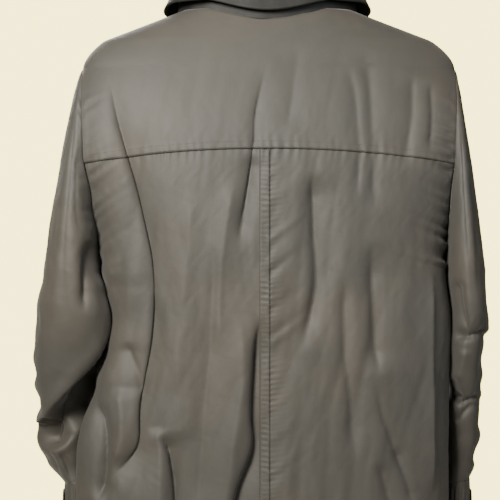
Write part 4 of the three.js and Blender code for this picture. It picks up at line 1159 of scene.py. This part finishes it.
class JACKET_OT_small_cloth(bpy.types.Operator):
    """Remakes the small sewn pieces: guard, garage, welts, bags, loop, label, tabs and tapes."""

    bl_idname = "jacket.small_cloth"
    bl_label = "Small sewn pieces"

    def execute(self, context):
        plain = (("wind_guard", "shell_cloth", "shell", (0.055, 0.67), 0.0004, "laid"),
                 ("zip_garage", "shell_cloth", "shell", (0.026, 0.015), 0.0, "laid"),
                 ("hang_loop", "zip_tape", "tape", (0.008, 0.085), 0.0, "hung"),
                 ("size_label", "label_cloth", "label", (0.027, 0.038), 0.0002, "hung"),
                 ("front_zip_tape_left", "zip_tape", "tape", (0.0116, 0.674), 0.0002, "hung"),
                 ("front_zip_tape_right", "zip_tape", "tape", (0.0116, 0.674), 0.0002, "hung"))
        for name, finish, slot, flat, ripple, held in plain:
            piece = soften(name, finish, name + "_sewn", ripple=ripple)
        for side in SIDES:
            welt = soften(f"pocket_welt_{side}", "shell_cloth", f"pocket_welt_{side}_sewn", ripple=0.0001)
            bag = soften(f"pocket_bag_{side}", "lining_cloth", f"pocket_bag_{side}_sewn", ripple=0.0006,
                        sink=0.0035)
            tab = soften(f"cuff_tab_{side}", "shell_cloth", f"cuff_tab_{side}_sewn",
                        body=f"cuff_tab_{side}")
            patches = ((f"cuff_hook_{side}", f"cuff_tab_{side}", (0.041, 0.020), tab.name),
                       (f"cuff_loop_{side}", f"sleeve_{side}", (0.0535, 0.024), f"cuff_{side}_cloth"))
            for name, body, flat, under in patches:
                patch = soften(name, "hook_tape", name + "_sewn", body=body, edge=0.0004)
        return {"FINISHED"}


def tooth(bm, spot, across, along, out, side, width, height, depth):
    """One moulded tooth: a small block with a rounded head, leaning over the middle of the chain."""
    turn = Matrix((across, along, out)).transposed().to_4x4()
    place = Matrix.Translation(spot + across * side * width * 0.30) @ turn
    bmesh.ops.create_cube(bm, size=1.0, matrix=place @ Matrix.Diagonal((width, height, depth, 1)))
    bmesh.ops.create_icosphere(bm, subdivisions=1, radius=1.0, matrix=Matrix.Translation(
        spot - across * side * width * 0.20) @ turn @ Matrix.Diagonal((width * 0.30, height * 0.62,
                    depth * 0.56, 1)))


def chain(bm, middle, across, along, out, length, pitch, width, height, depth, side):
    count = int(length / pitch)
    for k in range(count):
        step = (k - (count - 1) / 2 + (0.5 if side < 0 else 0.0)) * pitch
        tooth(bm, middle + along * step, across, along, out, side, width, height, depth)


def main_directions(node):
    """The node's long, middle and short directions: long points up, short points out of the front."""
    spots = np.array([vert.co[:] for vert in node.data.vertices])
    _, _, rows = np.linalg.svd(spots - spots.mean(axis=0), full_matrices=False)
    along, across, outward = (Vector([float(c) for c in row]) for row in rows)
    if along.z < 0:
        along = -along
    if outward.y > 0:
        outward = -outward
    if across.cross(along).dot(outward) < 0:
        across = -across
    return along, across, outward


class JACKET_OT_zips(bpy.types.Operator):
    """Sets the moulded teeth of the front zip and of the two pocket zips on their tapes."""

    bl_idname = "jacket.zips"
    bl_label = "Zips"

    def execute(self, context):
        right, up, out = Vector((1, 0, 0)), Vector((0, 0, 1)), Vector((0, -1, 0))
        for name, side in SIDES.items():
            low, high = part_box(f"front_zip_teeth_{name}")
            middle = Vector((0, (low.y + high.y) / 2, (low.z + high.z) / 2))
            bm = bmesh.new()
            chain(bm, middle, right, up, out, high.z - low.z - 0.002, 0.0027, 0.0036, 0.00125, 0.0025, side)
            bmesh.ops.create_cube(bm, size=1.0, matrix=Matrix.Translation(middle + right * side * 0.0028)
                                  @ Matrix.Diagonal((0.0008, 0.0017, high.z - low.z, 1)))
            piece = finish_mesh(bm, f"front_zip_{name}_row", ["zip_plastic"], smooth_faces=False)
            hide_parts(f"front_zip_teeth_{name}")
            node_piece = frame["nodes"][f"pocket_zip_{name}"]
            low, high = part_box(f"pocket_zip_{name}")
            along, across, outward = main_directions(node_piece)
            middle = (low + high) / 2
            bm = bmesh.new()
            for way in (1, -1):
                chain(bm, middle, across, along, outward, 0.157, 0.0027, 0.0034, 0.00125, 0.0022, way)
            piece = finish_mesh(bm, f"pocket_zip_{name}_rows", ["zip_plastic"], smooth_faces=False)
            bm = bmesh.new()
            for way in (1, -1):
                turn = Matrix((across, along, outward)).transposed().to_4x4()
                flat = Matrix.Translation(middle + across * way * 0.0064) @ turn
                tape = bmesh.new()
                bmesh.ops.create_grid(tape, x_segments=6, y_segments=60, size=0.5,
                                      matrix=flat @ Matrix.Diagonal((0.0090, 0.172, 1, 1)))
                layer = tape.loops.layers.uv.new("cloth")
                for face in tape.faces:
                    for loop in face.loops:
                        loop[layer].uv = (loop.vert.co.x, loop.vert.co.z)
                join_into(bm, tape)
            piece = finish_mesh(bm, f"pocket_zip_{name}_tapes", ["zip_tape"], thick=0.0008)
            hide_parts(node_piece.name)
        return {"FINISHED"}


class JACKET_OT_seams(bpy.types.Operator):
    """Runs the topstitching along the yoke, centre back, armholes and hems."""

    bl_idname = "jacket.seams"
    bl_label = "Seams and stitching"

    def execute(self, context):
        scene = context.scene.objects
        back = reachable([scene[n] for n in ("back_yoke_cloth", "back_panel_left_cloth",
                    "back_panel_right_cloth",
                                             "hem_band_cloth")])

        def strip(t, v):
            z = mix(yoke_seam_height(0) - 0.001, HEM_TOP, v)
            x = -0.0025 + 0.0145 * t
            spots = [lay(back, float(a), float(b), BACK) for a, b in zip(x, np.broadcast_to(z, x.shape))]
            y = np.array([p[0].y if p[0] else SEAM_Y for p in spots])
            edge = np.minimum(t, 1 - t)
            lift = 0.0004 + 0.0009 * smooth(edge, 0.0, 0.12)
            pucker = 0.0005 * np.sin(z * 2 * math.pi / 0.0068 + 2 * np.sin(z * 60)) * smooth(edge, 0, 0.4)
            return x, y + lift + pucker, z
        bm = cloth_grid(8, 230, strip, (0.014, 0.56), from_axis)
        piece = finish_mesh(bm, "centre_back_seam", ["shell_cloth"], thick=0.0008)
        rows = reachable([scene[n] for n in ("back_yoke_cloth", "back_panel_left_cloth",
                    "back_panel_right_cloth",
                                             "hem_band_cloth", "centre_back_seam")])
        bm = bmesh.new()
        for lift in (0.0022, 0.0100):
            line = [(x, yoke_seam_height(x) + lift) for x in (0.243, 0.16, 0.08, 0.0, -0.08, -0.16, -0.243)]
            stitch_line(bm, rows, line, BACK)
        for x in (-0.0008, 0.0103):
            stitch_line(bm, rows, [(x, -0.184), (x, -0.45), (x, -0.733)], BACK)
        for x0, x1 in ((0.243, 0.0), (0.0, -0.243)):
            stitch_line(bm, rows, [(x0, -0.738), ((x0 + x1) / 2, -0.738), (x1, -0.738)], BACK)
        for path, way in ((LEFT_ARMHOLE, -1), (RIGHT_ARMHOLE, 1)):
            stitch_line(bm, rows, [(x + way * 0.0035, z) for x, z in path[:-1]], BACK)
        piece = finish_mesh(bm, "back_topstitching", ["thread"])
        chest = reachable([scene[n] for n in ("back_yoke_cloth", "front_panel_left_cloth",
                    "front_panel_right_cloth",
                                              "hem_band_cloth")])
        bm = bmesh.new()
        for side in SIDES.values():
            for lift in (0.0022, 0.0080):
                level = FRONT_YOKE_SEAM + lift
                stitch_line(bm, chest, [(side * 0.022, level), (side * 0.12, level), (side * 0.235,
                            level)], FRONT)
            stitch_line(bm, chest, [(side * 0.020, -0.13), (side * 0.020, -0.45), (side * 0.020, -0.73)],
                        FRONT)
            stitch_line(bm, chest, [(side * 0.022, -0.738), (side * 0.12, -0.738), (side * 0.240,
                        -0.738)], FRONT)
        piece = finish_mesh(bm, "front_topstitching", ["thread"])
        return {"FINISHED"}


FLOOR_HALF = 1.5
FLOOR_DROP = 0.55
LENS_LENGTH = 120
SENSOR_WIDTH = 36
FRAME_WIDTH = 0.680
CAMERA_SIDE = 0.0245
CAMERA_HEIGHT = -0.317
BACK_FACE = 0.020
KEY_CONE = 75
FULL_CONE = 180


class JACKET_OT_stage(bpy.types.Operator):
    """Sets the pale floor, the soft light and the camera."""

    bl_idname = "jacket.stage"
    bl_label = "Floor, light and camera"

    def execute(self, context):
        s = settings()
        scene = context.scene
        bm = bmesh.new()
        bmesh.ops.create_grid(bm, x_segments=2, y_segments=2, size=FLOOR_HALF,
                              matrix=Matrix.Translation((0, 0, HEM_END - FLOOR_DROP)))
        floor = finish_mesh(bm, "floor", [], body=None, smooth_faces=False)
        floor.data.materials.append(hard("floor_paint", (0.80, 0.77, 0.68), 0.7, speck=0.02, scale=6.0,
                    bump=0.0001))
        world = bpy.data.worlds.new("pale_room")
        world.use_nodes = True
        sky = world.node_tree.nodes["Background"]
        sky.inputs["Color"].default_value = (0.93, 0.90, 0.78, 1)
        sky.inputs["Strength"].default_value = s.room_light
        seen = node(world.node_tree, "ShaderNodeBackground", Color=(1.0, 0.86, 0.30, 1), Strength=5.4)
        choose = world.node_tree.nodes.new("ShaderNodeMixShader")
        ray = world.node_tree.nodes.new("ShaderNodeLightPath")
        link = world.node_tree.links.new
        link(ray.outputs["Is Camera Ray"], choose.inputs["Fac"])
        link(sky.outputs["Background"], choose.inputs[1])
        link(seen.outputs["Background"], choose.inputs[2])
        link(choose.outputs["Shader"], world.node_tree.nodes["World Output"].inputs["Surface"])
        scene.world = world
        for name, spot, aim, size, power, tone in (
            ("key", (0.95, 1.70, 0.60), (0.05, 0, -0.08), 0.7, s.key_power * 0.20, (1.0, 0.97, 0.90)),
            ("fill", (-1.5, 1.7, 0.4), (0, 0, -0.25), 1.0, s.key_power * 0.18, (0.92, 0.95, 1.0)),
            ("front", (0.8, -2.0, 0.9), (0, 0, -0.35), 1.4, s.key_power * 0.7, (1.0, 0.97, 0.92)),
        ):
            lamp = bpy.data.lights.new(name, "AREA")
            lamp.size = size
            lamp.spread = math.radians(KEY_CONE if name == "key" else FULL_CONE)
            lamp.energy = power
            lamp.color = tone
            holder = bpy.data.objects.new(name, lamp)
            holder.location = spot
            holder.rotation_euler = (Vector(aim) - Vector(spot)).to_track_quat("-Z", "Y").to_euler()
            scene.collection.objects.link(holder)
        lens = bpy.data.cameras.new("camera")
        lens.lens = LENS_LENGTH
        lens.sensor_width = SENSOR_WIDTH
        eye = bpy.data.objects.new("camera", lens)
        eye.location = (CAMERA_SIDE, BACK_FACE + FRAME_WIDTH * LENS_LENGTH / SENSOR_WIDTH, CAMERA_HEIGHT)
        eye.rotation_euler = (math.pi / 2, 0, math.pi)
        scene.collection.objects.link(eye)
        scene.camera = eye
        return {"FINISHED"}


class JACKET_OT_finishes(bpy.types.Operator):
    """Gives every node that is carried over its finish."""

    bl_idname = "jacket.finishes"
    bl_label = "Finishes of the carried nodes"

    FINISH = {"zip_metal": "zip_metal", "teeth": "zip_plastic", "tape": "zip_tape",
              "hook_tape": "hook_tape",
              "label": "label_cloth", "eyelet": "eyelet_metal", "shell": "shell_cloth", "lining": "lining_cloth",
              "collar": "collar_cloth"}

    def execute(self, context):
        for name, piece in frame["nodes"].items():
            for holder in piece.material_slots:
                kind = holder.material.name.split(".")[0] if holder.material else "shell"
                holder.material = material(self.FINISH.get(kind, "shell_cloth"))
        return {"FINISHED"}


class JACKET_PT_panel(bpy.types.Panel):
    """Lists the jacket's pieces."""

    bl_idname = "JACKET_PT_panel"
    bl_label = "Jacket"
    bl_space_type = "VIEW_3D"
    bl_region_type = "UI"
    bl_category = "Jacket"

    def draw(self, context):
        for kind in OPERATORS:
            self.layout.operator(kind.bl_idname)
        for key in JacketSettings.__annotations__:
            self.layout.prop(context.scene.jacket, key)


OPERATORS = (JACKET_OT_finishes, JACKET_OT_back_yoke, JACKET_OT_linings, JACKET_OT_back_panels,
            JACKET_OT_front_panels,
             JACKET_OT_hem, JACKET_OT_sleeves, JACKET_OT_cuffs, JACKET_OT_collar,
             JACKET_OT_small_cloth, JACKET_OT_zips, JACKET_OT_seams, JACKET_OT_stage)
CLASSES = (JacketSettings, *OPERATORS, JACKET_PT_panel)


def register():
    for kind in CLASSES:
        bpy.utils.register_class(kind)
    bpy.types.Scene.jacket = PointerProperty(type=JacketSettings)


def unregister():
    del bpy.types.Scene.jacket
    for kind in reversed(CLASSES):
        bpy.utils.unregister_class(kind)


def main():
    register()
    for kind in OPERATORS:
        group, name = kind.bl_idname.split(".")
        getattr(getattr(bpy.ops, group), name)()


if __name__ == "__main__":
    main()
